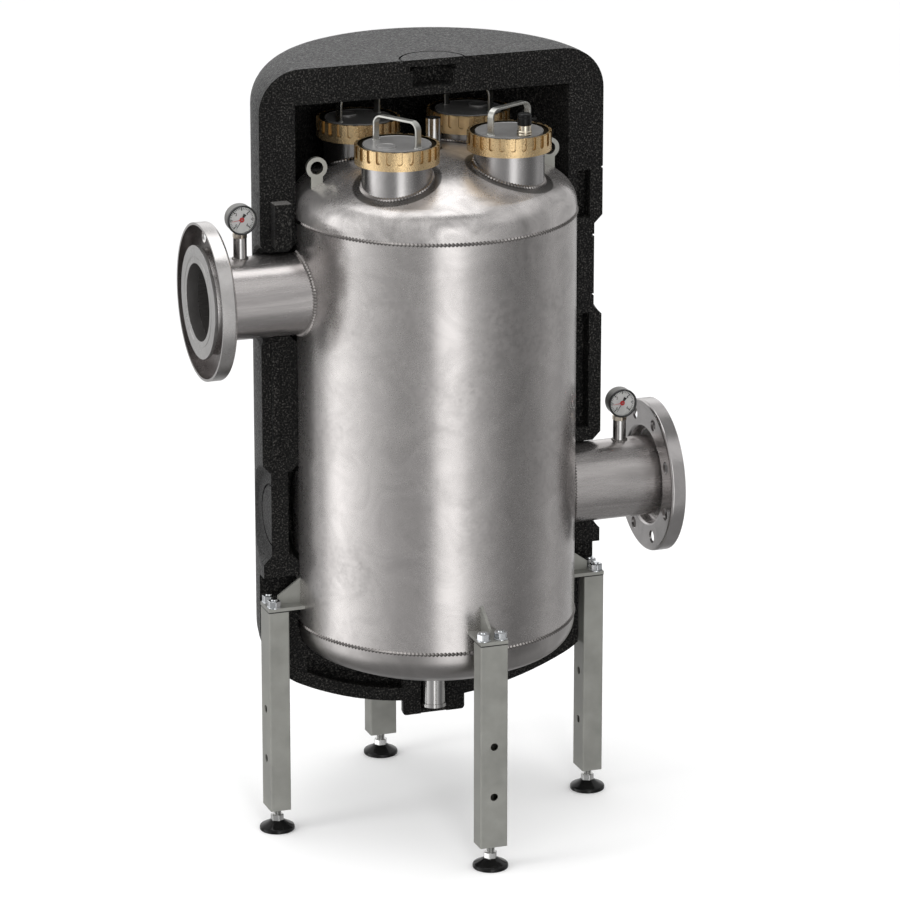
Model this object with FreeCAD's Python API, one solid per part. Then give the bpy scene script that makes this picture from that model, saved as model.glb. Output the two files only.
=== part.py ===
import FreeCAD, Part
import math
import os

from FreeCAD import Vector

# Magnetic filter for a heating circuit: an upright steel vessel on four levelling legs, with an
# inlet on the left, an outlet on the right, four lidded necks that hold magnet rods, two pressure
# gauges and the rear half of a foam insulation shell.
# Millimetres. The origin is on the floor, on the vessel's axis. X runs along the pipes, with the
# inlet at -X, Y points to the insulation half at the rear, and Z is up.

# Vessel
vessel_radius = 200.0
vessel_wall = 3.0
seam_bottom_z = 306.0
barrel_length = 587.0
head_skirt = 8.0
head_crown_radius = 400.0
head_knuckle_radius = 40.0
seam_bead_height = 1.2
seam_bead_width = 5.5
weld_leg = 2.8

# Inlet and outlet pipes, with the lapped collars at their ends
pipe_radius = 57.15
pipe_wall = 3.0
inlet_drop = 103.4
outlet_rise = 164.4
collar_width = 21.85
collar_thickness = 5.0
collar_fillet = 7.0
collar_neck = 5.0
collar_groove_inset = 7.85
collar_groove_width = 1.6
collar_groove_depth = 0.8

# Loose flanges
flange_width = 21.0
flange_setback = 2.8
flange_sheet = 3.5
flange_edge_radius = 4.0
flange_lip_gap = 1.35
flange_lip_width = 5.5
flange_seat_gap = 0.3
flange_bolt_gap = 2.0
flange_rim = 11.0
flange_hole_radius = 9.0
flange_hole_count = 8
flange_hole_start_deg = 22.5

# Necks on the top head
neck_pitch_x = 163.0
neck_pitch_y = 165.0
neck_radius = 48.6
neck_wall = 2.0
neck_rise = 7.5
vented_neck_rise = 5.5
liner_flange = 2.0
liner_height = 13.0

# Lids, handles and gaskets
gasket_thickness = 2.5
gasket_bore_gap = 0.2
lid_flange_overlap = 0.8
lid_flange_height = 4.4
lid_disc_radius = 47.2
lid_disc_height = 5.6
lid_spigot_gap = 2.6
lid_spigot_depth = 6.0
badge_radius = 13.5
badge_height = 1.4
badge_offset = 22.5
handle_span = 79.0
handle_height = 36.0
handle_width = 10.5
handle_thickness = 3.2
handle_bend_radius = 13.0

# Ring nuts
nut_wall = 7.5
nut_height = 26.0
nut_drop = 13.3
nut_thread_gap = 0.3
nut_lid_gap = 0.5
nut_lip_gap = 0.2
nut_lip_bore_gap = 0.5
nut_counterbore_width = 6.5
nut_counterbore_depth = 2.6
nut_slot_count = 24
nut_slot_width = 7.4
nut_slot_depth = 3.0
nut_slot_length = 17.5

# Magnet rods
rod_radius = 25.0
rod_wall = 1.5
rod_spacer_radius = 12.0
rod_spacer_length = 79.0
magnet_gap = 0.3
magnet_length = 45.0
pole_length = 5.0
magnet_count = 10

# Air vent on the front right lid
vent_edge_gap = 1.1
vent_angle_deg = -74.9
vent_body_radius = 10.4
vent_body_height = 10.0
vent_cap_radius = 10.0
vent_cap_height = 20.5
vent_cap_edge_radius = 2.5
vent_cap_gap = 0.3
vent_stem_radius = 4.0
vent_stem_height = 12.0
vent_stem_gap = 0.05
vent_nozzle_radius = 1.6
vent_nozzle_reach = 7.0
vent_nozzle_height = 11.0

# Centre port, drain and lifting eyes
centre_port_radius = 10.65
centre_port_wall = 2.6
centre_port_height = 44.0
drain_radius = 17.3
drain_wall = 3.2
drain_length = 61.0
drain_rim_width = 1.3
drain_rim_height = 5.0
eye_radius = 15.1
eye_hole_radius = 9.2
eye_stem_width = 17.0
eye_thickness = 6.0
eye_inset = 29.5
eye_rise = 25.2

# Gauges
gauge_foam_gap = 29.0
gauge_setback = 61.5
gauge_stub_radius = 9.4
gauge_stub_bore = 3.0
gauge_stub_height = 29.75
union_flats = 18.0
union_height = 6.0
gauge_neck = 0.9
gauge_case_radius = 20.2
gauge_case_back_y = 9.0
gauge_case_depth = 19.0
gauge_case_wall = 1.5
gauge_boss_radius = 7.0
bezel_overlap = 0.8
bezel_depth = 4.0
bezel_width = 2.6
dial_thickness = 0.8
lens_thickness = 1.0
lens_setback = 0.6
pointer_layer_gap = 0.25
pointer_thickness = 0.4
pointer_length = 15.0
pointer_tail = 9.0
pointer_width = 1.1
pointer_tail_width = 5.0
pointer_angle_deg = 238.0
set_pointer_length = 14.5
set_pointer_width = 1.0
set_pointer_angle_deg = 186.0
hub_radius = 3.5
pin_radius = 0.8
pin_clearance = 0.05
pin_lens_gap = 0.4

# Feet
foot_pad_radius = 25.1
foot_pad_rim = 4.0
foot_pad_height = 14.5
foot_pad_top_radius = 9.5
foot_socket_depth = 10.0
foot_hex_flats = 17.0
foot_hex_height = 8.0
foot_gap = 11.7
spindle_radius = 6.0
spindle_clearance = 0.05
spindle_engagement = 24.0

# Brackets and legs
leg_gap = 22.0
leg_width = 40.0
leg_depth = 30.0
leg_wall = 2.0
leg_seam_gap = 27.5
leg_end_plate = 4.0
leg_hole_radius = 5.6
leg_hole_rise = 75.0
leg_hole_pitch = 74.5
foot_nut_height = 18.0
foot_nut_wall = 3.0
bracket_thickness = 5.0
gusset_thickness = 4.0
gusset_inner_height = 35.5
gusset_outer_height = 12.0
gusset_setback = 4.0
bolt_offset = 5.0
bolt_spacing = 25.0
bolt_radius = 5.0
bolt_hole_gap = 0.5
bolt_end = 3.0
washer_radius = 10.0
washer_thickness = 2.0
bolt_nut_flats = 17.0
bolt_nut_height = 8.0

# Baffle behind the inlet
baffle_gap = 50.0
baffle_side_gap = 12.85
baffle_sheet = 3.0

# Insulation shell, rear half
foam_clearance = 0.5
foam_wall = 52.0
foam_roof = 50.5
foam_roof_gap = 7.5
foam_edge_radius = 60.0
foam_seam_gap = 1.3
foam_seam_relief_side = 3.25
port_gap = 0.55
port_outer_chamfer = 12.0
port_inner_chamfer = 11.0
port_web = 25.0
port_ring_inset = 15.5
port_ring_width = 3.0
port_ring_depth = 2.5
leg_slot_gap = 4.0
leg_slot_inner_gap = 1.5
shell_travel = 160.0
band_groove_rise = 38.0
band_groove_depth = 2.5
band_groove_width = 4.0
boss_wall = 27.1
boss_reach = 12.0
boss_edge_radius = 5.0
boss_hole_gap = 0.8
roof_plug_radius = 47.5
roof_groove_width = 3.0
roof_groove_depth = 2.5
roof_recess_radius = 29.5
roof_recess_depth = 38.5
roof_recess_step = 4.5
roof_recess_step_depth = 16.5
roof_recess_cover = 9.5

# The tongues and grooves that meet the front half of the shell
tongue_inset = 12.5
tongue_width = 24.0
tongue_reach = 20.0
tongue_rise = 66.4
tongue_height = 66.5
tongue_chamfer = 5.0
rib_inset = 27.5
rib_width = 10.0
rib_reach = 3.0
rib_end_gap = 7.5
groove_inset = 13.0
groove_width = 20.0
groove_depth = 22.0
groove_end_gap = 9.0
groove_height = 69.0
floor_groove_end = 190.0

# Sizes worked out from the ones above
seam_top_z = seam_bottom_z + barrel_length
head_bottom_rim_z = seam_bottom_z - head_skirt
head_top_rim_z = seam_top_z + head_skirt
head_depth = head_crown_radius - math.sqrt(
    (head_crown_radius - head_knuckle_radius) ** 2 - (vessel_radius - head_knuckle_radius) ** 2
)
head_top_z = head_top_rim_z + head_depth
head_bottom_z = head_bottom_rim_z - head_depth
centre_port_top_z = head_top_z + centre_port_height
drain_bottom_z = head_bottom_z - drain_length
drain_rim_radius = drain_radius + drain_rim_width

cavity_radius = vessel_radius + foam_clearance
foam_radius = cavity_radius + foam_wall
gauge_x = foam_radius + gauge_foam_gap
face_reach = gauge_x + gauge_setback
rim_front = face_reach - flange_setback
inlet_z = seam_top_z - inlet_drop
outlet_z = seam_bottom_z + outlet_rise
pipe_bore = pipe_radius - pipe_wall
pipe_end = face_reach - collar_thickness - collar_fillet - collar_neck
collar_radius = pipe_radius + collar_width
flange_lip_bore_radius = pipe_radius + collar_fillet + flange_lip_gap
flange_lip_radius = flange_lip_bore_radius + flange_lip_width
flange_hole_circle_radius = collar_radius + flange_bolt_gap + flange_hole_radius
flange_radius = flange_hole_circle_radius + flange_hole_radius + flange_rim

neck_bore = neck_radius - neck_wall
neck_top_z = head_top_z + neck_rise
liner_radius = neck_radius + liner_flange
liner_top_z = neck_top_z + liner_height
gasket_bore_radius = neck_bore + gasket_bore_gap
lid_seat_z = liner_top_z + gasket_thickness
lid_flange_radius = liner_radius + lid_flange_overlap
lid_spigot_radius = neck_bore - lid_spigot_gap
lid_shoulder_z = lid_seat_z + lid_flange_height
lid_face_z = lid_shoulder_z + lid_disc_height
nut_bore_radius = liner_radius + nut_thread_gap
nut_radius = nut_bore_radius + nut_wall
nut_lid_radius = lid_flange_radius + nut_lid_gap
nut_lip_bore_radius = lid_disc_radius + nut_lip_bore_gap
nut_counterbore_radius = nut_lip_bore_radius + nut_counterbore_width
rod_top_z = lid_seat_z - lid_spigot_depth
magnet_radius = rod_radius - rod_wall - magnet_gap
stack_length = magnet_count * magnet_length + (magnet_count - 1) * pole_length
rod_bottom_z = rod_top_z - rod_spacer_length - stack_length - rod_wall

gauge_stub_top = pipe_radius + gauge_stub_height
gauge_centre_height = gauge_stub_top + union_height + gauge_neck + gauge_case_radius
bezel_radius = gauge_case_radius + bezel_overlap

leg_bottom_z = foot_pad_height + foot_hex_height + foot_gap
leg_top_z = seam_bottom_z + leg_seam_gap
leg_inner_radius = vessel_radius + leg_gap
leg_circle_radius = leg_inner_radius + leg_depth / 2
leg_outer_radius = leg_inner_radius + leg_depth
foot_nut_radius = spindle_radius + foot_nut_wall
bracket_top_z = leg_top_z + bracket_thickness
gusset_outer_radius = leg_circle_radius - gusset_setback
bolt_circle_radius = leg_circle_radius + bolt_offset

baffle_x = baffle_gap - vessel_radius
baffle_half_width = pipe_radius + baffle_side_gap

foam_ceiling_z = lid_face_z + handle_height + foam_roof_gap
foam_top_z = foam_ceiling_z + foam_roof
port_radius = pipe_radius + weld_leg + port_gap
port_ring_radius = port_radius - port_ring_inset
leg_slot_top_z = bracket_top_z + gusset_inner_height + leg_slot_gap
rear_slot_inner_y = leg_inner_radius - leg_slot_inner_gap - shell_travel
boss_radius = drain_rim_radius + boss_hole_gap + boss_wall
boss_bottom_z = drain_bottom_z - boss_reach
tongue_bottom_z = inlet_z + tongue_rise
tongue_top_z = tongue_bottom_z + tongue_height

X = Vector(1, 0, 0)
Y = Vector(0, 1, 0)
Z = Vector(0, 0, 1)
ORIGIN = Vector(0, 0, 0)

LIDS = {
    "front_left": {"side": (-1, -1), "handle_deg": -60.0, "badge_deg": -150.0, "rise": 0.0},
    "front_right": {"side": (1, -1), "handle_deg": 28.0, "badge_deg": None, "rise": vented_neck_rise},
    "rear_left": {"side": (-1, 1), "handle_deg": 27.0, "badge_deg": 117.0, "rise": 0.0},
    "rear_right": {"side": (1, 1), "handle_deg": -55.0, "badge_deg": 35.0, "rise": 0.0},
}
LEGS = {"left": 180.0, "front": -90.0, "right": 0.0, "rear": 90.0}
PORTS = {"inlet": (-1, inlet_z), "outlet": (1, outlet_z)}


def save(shape, name):
    shape.exportStep("parts/%s.step" % name)
    print(name, len(shape.Solids), "solids, volume", round(shape.Volume))


def loop(points):
    """A closed wire of straight runs through the points."""
    return Part.makePolygon(points + points[:1])


def wire_of(start, steps):
    """A closed wire: a step of one point is a straight run, and of two points an arc through the first."""
    edges = []
    here = start
    for step in steps:
        end = step[-1]
        curve = Part.LineSegment(here, end) if len(step) == 1 else Part.Arc(here, step[0], end)
        edges.append(curve.toShape())
        here = end
    edges.append(Part.LineSegment(here, start).toShape())
    return Part.Wire(edges)


def turned(wire, axis=Z, angle=360.0, centre=ORIGIN):
    return Part.Face(wire).revolve(centre, axis, angle)


def rod(radius, low, high, x=0.0, y=0.0):
    return Part.makeCylinder(radius, high - low, Vector(x, y, low))


def tube(radius, bore, low, high, x=0.0, y=0.0):
    return rod(radius, low, high, x, y).cut(rod(bore, low, high, x, y))


def across(radius, near, far, z):
    """A cylinder along X from near to far, at a height."""
    low, high = min(near, far), max(near, far)
    return Part.makeCylinder(radius, high - low, Vector(low, 0, z), X)


def block(low, high):
    size = [b - a for a, b in zip(low, high)]
    return Part.makeBox(size[0], size[1], size[2], Vector(*low))


def hexagon(flats, low, high, x=0.0, y=0.0, angle=0.0):
    corner = flats / math.sqrt(3)
    points = [
        Vector(
            x + corner * math.cos(math.radians(angle + 60 * i)),
            y + corner * math.sin(math.radians(angle + 60 * i)),
            low,
        )
        for i in range(6)
    ]
    return Part.Face(loop(points)).extrude(Vector(0, 0, high - low))


def spun(shape, angle, axis=Z, centre=ORIGIN):
    copy = shape.copy()
    copy.rotate(centre, axis, angle)
    return copy


def moved(shape, x=0.0, y=0.0, z=0.0):
    copy = shape.copy()
    copy.translate(Vector(x, y, z))
    return copy


def one(shapes):
    """The shapes joined into one solid."""
    return shapes[0].multiFuse(shapes[1:]).removeSplitter()


def dish(radius, crown, knuckle):
    """A torispherical outline from its apex to its rim, as (r, height over the rim)."""
    centre = radius - knuckle
    meeting = math.asin(centre / (crown - knuckle))
    drop = math.sqrt((crown - knuckle) ** 2 - centre**2)

    def on_crown(angle):
        return crown * math.sin(angle), crown * math.cos(angle) - drop

    def on_knuckle(angle):
        return centre + knuckle * math.sin(angle), knuckle * math.cos(angle)

    middle = (meeting + math.pi / 2) / 2
    return [on_crown(0), on_crown(meeting / 2), on_crown(meeting), on_knuckle(middle), (radius, 0.0)]


def dish_points(offset, rim_z, up):
    """The outline of the vessel's heads, moved outwards by an offset."""
    outline = dish(vessel_radius + offset, head_crown_radius + offset, head_knuckle_radius + offset)
    return [Vector(r, 0, rim_z + up * height) for r, height in outline]


def head_height(offset, distance):
    """The height of the top head's crown at a distance from the axis."""
    apex = dish_points(offset, head_top_rim_z, 1)[0].z
    crown = head_crown_radius + offset
    return apex - crown + math.sqrt(crown**2 - distance**2)


def head_blank(offset, rim_z, up):
    """All that lies under the outside of a head, down to the other side of the rim."""
    apex, crown_mid, meet, knuckle_mid, rim = dish_points(offset, rim_z, up)
    depth = Vector(0, 0, -up * vessel_radius)
    start = Vector(0, 0, rim_z) + depth
    steps = [(rim + depth,), (rim,), (knuckle_mid, meet), (crown_mid, apex)]
    return turned(wire_of(start, steps))


def dished_head(rim_z, up):
    """A pressed head with its short straight skirt."""
    outer = dish_points(0.0, rim_z, up)
    inner = dish_points(-vessel_wall, rim_z, up)
    skirt = Vector(0, 0, -up * head_skirt)
    steps = [
        (outer[1], outer[2]),
        (outer[3], outer[4]),
        (outer[4] + skirt,),
        (inner[4] + skirt,),
        (inner[4],),
        (inner[3], inner[2]),
        (inner[1], inner[0]),
    ]
    return turned(wire_of(outer[0], steps))


def lid_centre(spec):
    return spec["side"][0] * neck_pitch_x / 2, spec["side"][1] * neck_pitch_y / 2


def vessel():
    barrel = tube(vessel_radius, vessel_radius - vessel_wall, seam_bottom_z, seam_top_z)
    for side, z in PORTS.values():
        barrel = barrel.cut(across(pipe_bore, 0, side * 2 * vessel_radius, z))
    save(barrel, "vessel_barrel")

    top = dished_head(head_top_rim_z, 1)
    for spec in LIDS.values():
        x, y = lid_centre(spec)
        top = top.cut(rod(neck_bore, seam_top_z, head_top_z, x, y))
    top = top.cut(rod(centre_port_radius - centre_port_wall, seam_top_z, head_top_z))
    save(top, "top_head")

    bottom = dished_head(head_bottom_rim_z, -1)
    bottom = bottom.cut(rod(drain_radius - drain_wall, drain_bottom_z, seam_bottom_z))
    save(bottom, "bottom_head")


def bead_ring(z):
    """The seam's weld bead, a low crown on the outside of the barrel."""
    low = Vector(vessel_radius, 0, z - seam_bead_width / 2)
    high = Vector(vessel_radius, 0, z + seam_bead_width / 2)
    crest = Vector(vessel_radius + seam_bead_height, 0, z)
    return turned(wire_of(low, [(crest, high)]))


def pipe_bead(side, z):
    """The fillet weld where a pipe meets the barrel."""
    near = side * pipe_radius
    ring = across(pipe_radius + weld_leg, near, side * 2 * vessel_radius, z)
    ring = ring.cut(across(pipe_radius, near, side * 2 * vessel_radius, z))
    reach = 2 * pipe_radius
    skin = tube(vessel_radius + weld_leg, vessel_radius, z - reach, z + reach)
    return ring.common(skin)


def welds():
    beads = [bead_ring(seam_bottom_z), bead_ring(seam_top_z)]
    beads += [pipe_bead(side, z) for side, z in PORTS.values()]
    crown = head_blank(weld_leg, head_top_rim_z, 1).cut(head_blank(0.0, head_top_rim_z, 1))
    for spec in LIDS.values():
        x, y = lid_centre(spec)
        collar = tube(neck_radius + weld_leg, neck_radius, head_top_rim_z, neck_top_z, x, y)
        beads.append(collar.common(crown))
    save(Part.makeCompound(beads), "weld_beads")


def necks():
    """Each neck is a set-on tube with a threaded liner at its top."""
    blank = head_blank(0.0, head_top_rim_z, 1)
    solids = []
    for spec in LIDS.values():
        x, y = lid_centre(spec)
        top = neck_top_z + spec["rise"]
        pipe = tube(neck_radius, neck_bore, head_top_rim_z, top, x, y).cut(blank)
        liner = tube(liner_radius, neck_bore, top, top + liner_height, x, y)
        solids.append(one([pipe, liner]))
    save(Part.makeCompound(solids), "lid_necks")


def gaskets():
    solids = []
    for spec in LIDS.values():
        x, y = lid_centre(spec)
        z = liner_top_z + spec["rise"]
        solids.append(tube(liner_radius, gasket_bore_radius, z, z + gasket_thickness, x, y))
    save(Part.makeCompound(solids), "lid_gaskets")


def ring_nut():
    """A round nut with U slots, standing at the height of the plain necks, on the axis."""
    bottom = liner_top_z - nut_drop
    top = bottom + nut_height
    lip_z = lid_shoulder_z + nut_lip_gap
    nut = rod(nut_radius, bottom, top)
    nut = nut.cut(rod(nut_bore_radius, bottom, liner_top_z))
    nut = nut.cut(rod(nut_lid_radius, liner_top_z, lip_z))
    nut = nut.cut(rod(nut_lip_bore_radius, lip_z, top))
    nut = nut.cut(rod(nut_counterbore_radius, top - nut_counterbore_depth, top))
    half = nut_slot_width / 2
    floor = top - nut_slot_length + half
    inner = nut_radius - nut_slot_depth
    slot = block((inner, -half, floor), (nut_radius + half, half, top + half))
    end = Part.makeCylinder(half, nut_slot_depth + half, Vector(inner, 0, floor), X)
    cutter = slot.fuse(end)
    slots = [spun(cutter, 360.0 * i / nut_slot_count) for i in range(nut_slot_count)]
    return nut.cut(Part.makeCompound(slots))


def handle(x, y, z, angle):
    """A flat strap bent into a U and welded on the lid."""
    half = handle_span / 2

    def arch(inset):
        reach, radius = half - inset, handle_bend_radius - inset
        top = handle_height - inset
        bend = radius * (1 - math.cos(math.radians(45)))
        start = Vector(-reach, 0, 0)
        steps = [
            (Vector(-reach, 0, top - radius),),
            (Vector(-reach + bend, 0, top - bend), Vector(-reach + radius, 0, top)),
            (Vector(reach - radius, 0, top),),
            (Vector(reach - bend, 0, top - bend), Vector(reach, 0, top - radius)),
            (Vector(reach, 0, 0),),
        ]
        return Part.Face(wire_of(start, steps))

    strap = arch(0.0).cut(arch(handle_thickness)).extrude(Vector(0, handle_width, 0))
    strap = moved(strap, 0, -handle_width / 2, 0)
    return moved(spun(strap, angle), x, y, z)


def lids():
    nut = ring_nut()
    for name, spec in LIDS.items():
        x, y = lid_centre(spec)
        rise = spec["rise"]
        seat = lid_seat_z + rise
        shoulder = lid_shoulder_z + rise
        face = lid_face_z + rise
        rod_top = rod_top_z + rise
        rod_bottom = rod_bottom_z + rise
        pieces = [
            rod(lid_flange_radius, seat, shoulder, x, y),
            rod(lid_disc_radius, shoulder, face, x, y),
            rod(lid_spigot_radius, rod_top, seat, x, y),
        ]
        if spec["badge_deg"] is not None:
            turn = math.radians(spec["badge_deg"])
            badge_x = x + badge_offset * math.cos(turn)
            badge_y = y + badge_offset * math.sin(turn)
            pieces.append(rod(badge_radius, face, face + badge_height, badge_x, badge_y))
        save(one(pieces), "lid_" + name)
        save(handle(x, y, face, spec["handle_deg"]), "handle_" + name)
        save(moved(nut, x, y, rise), "ring_nut_" + name)

        sleeve = rod(rod_radius, rod_bottom, rod_top, x, y)
        inside = rod(rod_radius - rod_wall, rod_bottom + rod_wall, rod_top, x, y)
        save(sleeve.cut(inside), "rod_sleeve_" + name)

        stack = []
        z = rod_bottom + rod_wall
        for i in range(magnet_count):
            stack.append(rod(magnet_radius, z, z + magnet_length, x, y))
            z += magnet_length
            if i < magnet_count - 1:
                stack.append(rod(magnet_radius, z, z + pole_length, x, y))
                z += pole_length
        stack.append(rod(rod_spacer_radius, z, rod_top, x, y))
        save(Part.makeCompound(stack), "magnets_" + name)


def air_vent():
    spec = LIDS["front_right"]
    lid_x, lid_y = lid_centre(spec)
    reach = lid_disc_radius - vent_body_radius - vent_edge_gap
    turn = math.radians(vent_angle_deg)
    x, y = lid_x + reach * math.cos(turn), lid_y + reach * math.sin(turn)
    base = lid_face_z + spec["rise"]
    top = base + vent_body_height
    body = rod(vent_body_radius, base, top, x, y)
    body = one([body, rod(vent_stem_radius, top, top + vent_stem_height, x, y)])
    save(body, "vent_body")

    low = top + vent_cap_gap
    high = low + vent_cap_height
    cap = rod(vent_cap_radius, low, high, x, y)
    rim = [e for e in cap.Edges if e.BoundBox.ZMin > high - vent_cap_edge_radius]
    cap = cap.makeFillet(vent_cap_edge_radius, rim)
    nozzle = Part.makeCylinder(
        vent_nozzle_radius, vent_cap_radius + vent_nozzle_reach, Vector(x, y, low + vent_nozzle_height), X
    )
    cap = one([cap, nozzle])
    cap = cap.cut(rod(vent_stem_radius + vent_stem_gap, low, top + vent_stem_height + vent_cap_gap, x, y))
    save(cap, "vent_cap")


def ports_and_eyes():
    blank = head_blank(0.0, head_top_rim_z, 1)
    bore = centre_port_radius - centre_port_wall
    stub = tube(centre_port_radius, bore, head_top_rim_z, centre_port_top_z).cut(blank)
    save(stub, "centre_port")

    eyes = []
    reach = vessel_radius - eye_inset
    eye_z = head_height(0.0, reach) + eye_rise
    for side in (-1, 1):
        x = side * reach
        half = eye_thickness / 2
        ring = Part.makeCylinder(eye_radius, eye_thickness, Vector(x, -half, eye_z), Y)
        stem = block(
            (x - eye_stem_width / 2, -half, head_top_rim_z), (x + eye_stem_width / 2, half, eye_z - eye_hole_radius)
        )
        hole = Part.makeCylinder(eye_hole_radius, eye_thickness, Vector(x, -half, eye_z), Y)
        eyes.append(one([ring, stem]).cut(hole).cut(blank))
    save(Part.makeCompound(eyes), "lifting_eyes")

    floor = head_blank(0.0, head_bottom_rim_z, -1)
    drain = rod(drain_radius, drain_bottom_z, head_bottom_rim_z)
    drain = drain.fuse(rod(drain_rim_radius, drain_bottom_z, drain_bottom_z + drain_rim_height))
    drain = drain.cut(rod(drain_radius - drain_wall, drain_bottom_z, head_bottom_rim_z)).cut(floor)
    save(drain.removeSplitter(), "drain_port")


def inlet_or_outlet_pipe(side, z):
    """A set-on pipe, cut to the barrel's curve at one end."""
    pipe = across(pipe_radius, 0, side * pipe_end, z).cut(across(pipe_bore, 0, side * pipe_end, z))
    return pipe.cut(rod(vessel_radius, z - 2 * pipe_radius, z + 2 * pipe_radius))


def collar(side, z):
    """The lapped collar on a pipe's end. Its flat face takes the gasket, and its back the loose flange."""
    back = face_reach - collar_thickness
    corner = back - collar_fillet
    bend = collar_fillet * (1 - math.cos(math.radians(45)))

    def at(reach, radius):
        return Vector(side * reach, 0, z + radius)

    start = at(pipe_end, pipe_bore)
    groove_in = pipe_bore + collar_groove_inset
    groove_out = groove_in + collar_groove_width
    floor = face_reach - collar_groove_depth
    steps = [
        (at(face_reach, pipe_bore),),
        (at(face_reach, groove_in),),
        (at(floor, groove_in),),
        (at(floor, groove_out),),
        (at(face_reach, groove_out),),
        (at(face_reach, collar_radius),),
        (at(back, collar_radius),),
        (at(back, pipe_radius + collar_fillet),),
        (at(back - bend, pipe_radius + bend), at(corner, pipe_radius)),
        (at(pipe_end, pipe_radius),),
    ]
    return turned(wire_of(start, steps), X, 360.0, Vector(0, 0, z))


def loose_flange(side, z):
    """A pressed flange of channel section, open to the front, free to turn on its pipe."""
    front = rim_front
    back = rim_front - flange_width
    plate = back + flange_sheet
    seat = face_reach - collar_thickness - flange_seat_gap
    edge = flange_edge_radius
    bend = edge * (1 - math.cos(math.radians(45)))
    inner_rim = flange_radius - flange_sheet
    back_bore = flange_lip_radius
    funnel = back_bore + flange_sheet
    lip_back = seat - flange_sheet

    def at(reach, radius):
        return Vector(side * reach, 0, z + radius)

    steps = [
        (at(back + edge, flange_radius),),
        (at(back + bend, flange_radius - bend), at(back, flange_radius - edge)),
        (at(back, back_bore + edge),),
        (at(back + bend, back_bore + bend), at(back + edge, back_bore)),
        (at(lip_back, flange_lip_radius - flange_sheet),),
        (at(lip_back, flange_lip_bore_radius),),
        (at(seat, flange_lip_bore_radius),),
        (at(seat, flange_lip_radius),),
        (at(plate, funnel),),
        (at(plate, inner_rim),),
        (at(front, inner_rim),),
    ]
    flange = turned(wire_of(at(front, flange_radius), steps), X, 360.0, Vector(0, 0, z))
    hole = across(flange_hole_radius, side * (plate + edge), side * (back - edge), z + flange_hole_circle_radius)
    for i in range(flange_hole_count):
        angle = flange_hole_start_deg + 360.0 * i / flange_hole_count
        flange = flange.cut(spun(hole, angle, X, Vector(0, 0, z)))
    return flange


def pipes():
    for name, (side, z) in PORTS.items():
        save(inlet_or_outlet_pipe(side, z), name + "_pipe")
        save(loose_flange(side, z), name + "_flange")
    save(Part.makeCompound([collar(side, z) for side, z in PORTS.values()]), "pipe_collars")

    front = block(
        (baffle_x, -baffle_half_width, inlet_z - baffle_half_width),
        (baffle_x + baffle_sheet, baffle_half_width, inlet_z + baffle_half_width),
    )
    webs = []
    for side in (-1, 1):
        near = side * baffle_half_width
        far = near - side * baffle_sheet
        webs.append(
            block(
                (-vessel_radius, min(near, far), inlet_z - baffle_half_width),
                (baffle_x, max(near, far), inlet_z + baffle_half_width),
            )
        )
    room = rod(vessel_radius - vessel_wall, seam_bottom_z, seam_top_z)
    save(one([front] + webs).common(room), "inlet_baffle")


def facing(radius, back, front, x, z):
    """A cylinder along Y, from its back face towards the viewer's side at -Y."""
    return Part.makeCylinder(radius, back - front, Vector(x, front, z), Y)


def pointer_blade(length, tail, width, tail_width, thickness, front, x, z, angle):
    """A tapered pointer that turns about Y, with its hub bored for the pin."""
    points = [
        Vector(-tail, 0, -tail_width / 2),
        Vector(-tail, 0, tail_width / 2),
        Vector(0, 0, width / 2),
        Vector(length, 0, width / 5),
        Vector(length, 0, -width / 5),
        Vector(0, 0, -width / 2),
    ]
    blade = Part.Face(loop(points)).extrude(Vector(0, thickness, 0))
    hub = Part.makeCylinder(hub_radius, thickness, ORIGIN, Y)
    bore = Part.makeCylinder(pin_radius + pin_clearance, thickness, ORIGIN, Y)
    blade = one([blade, hub]).cut(bore)
    return moved(spun(blade, -angle, Y), x, front, z)


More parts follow.
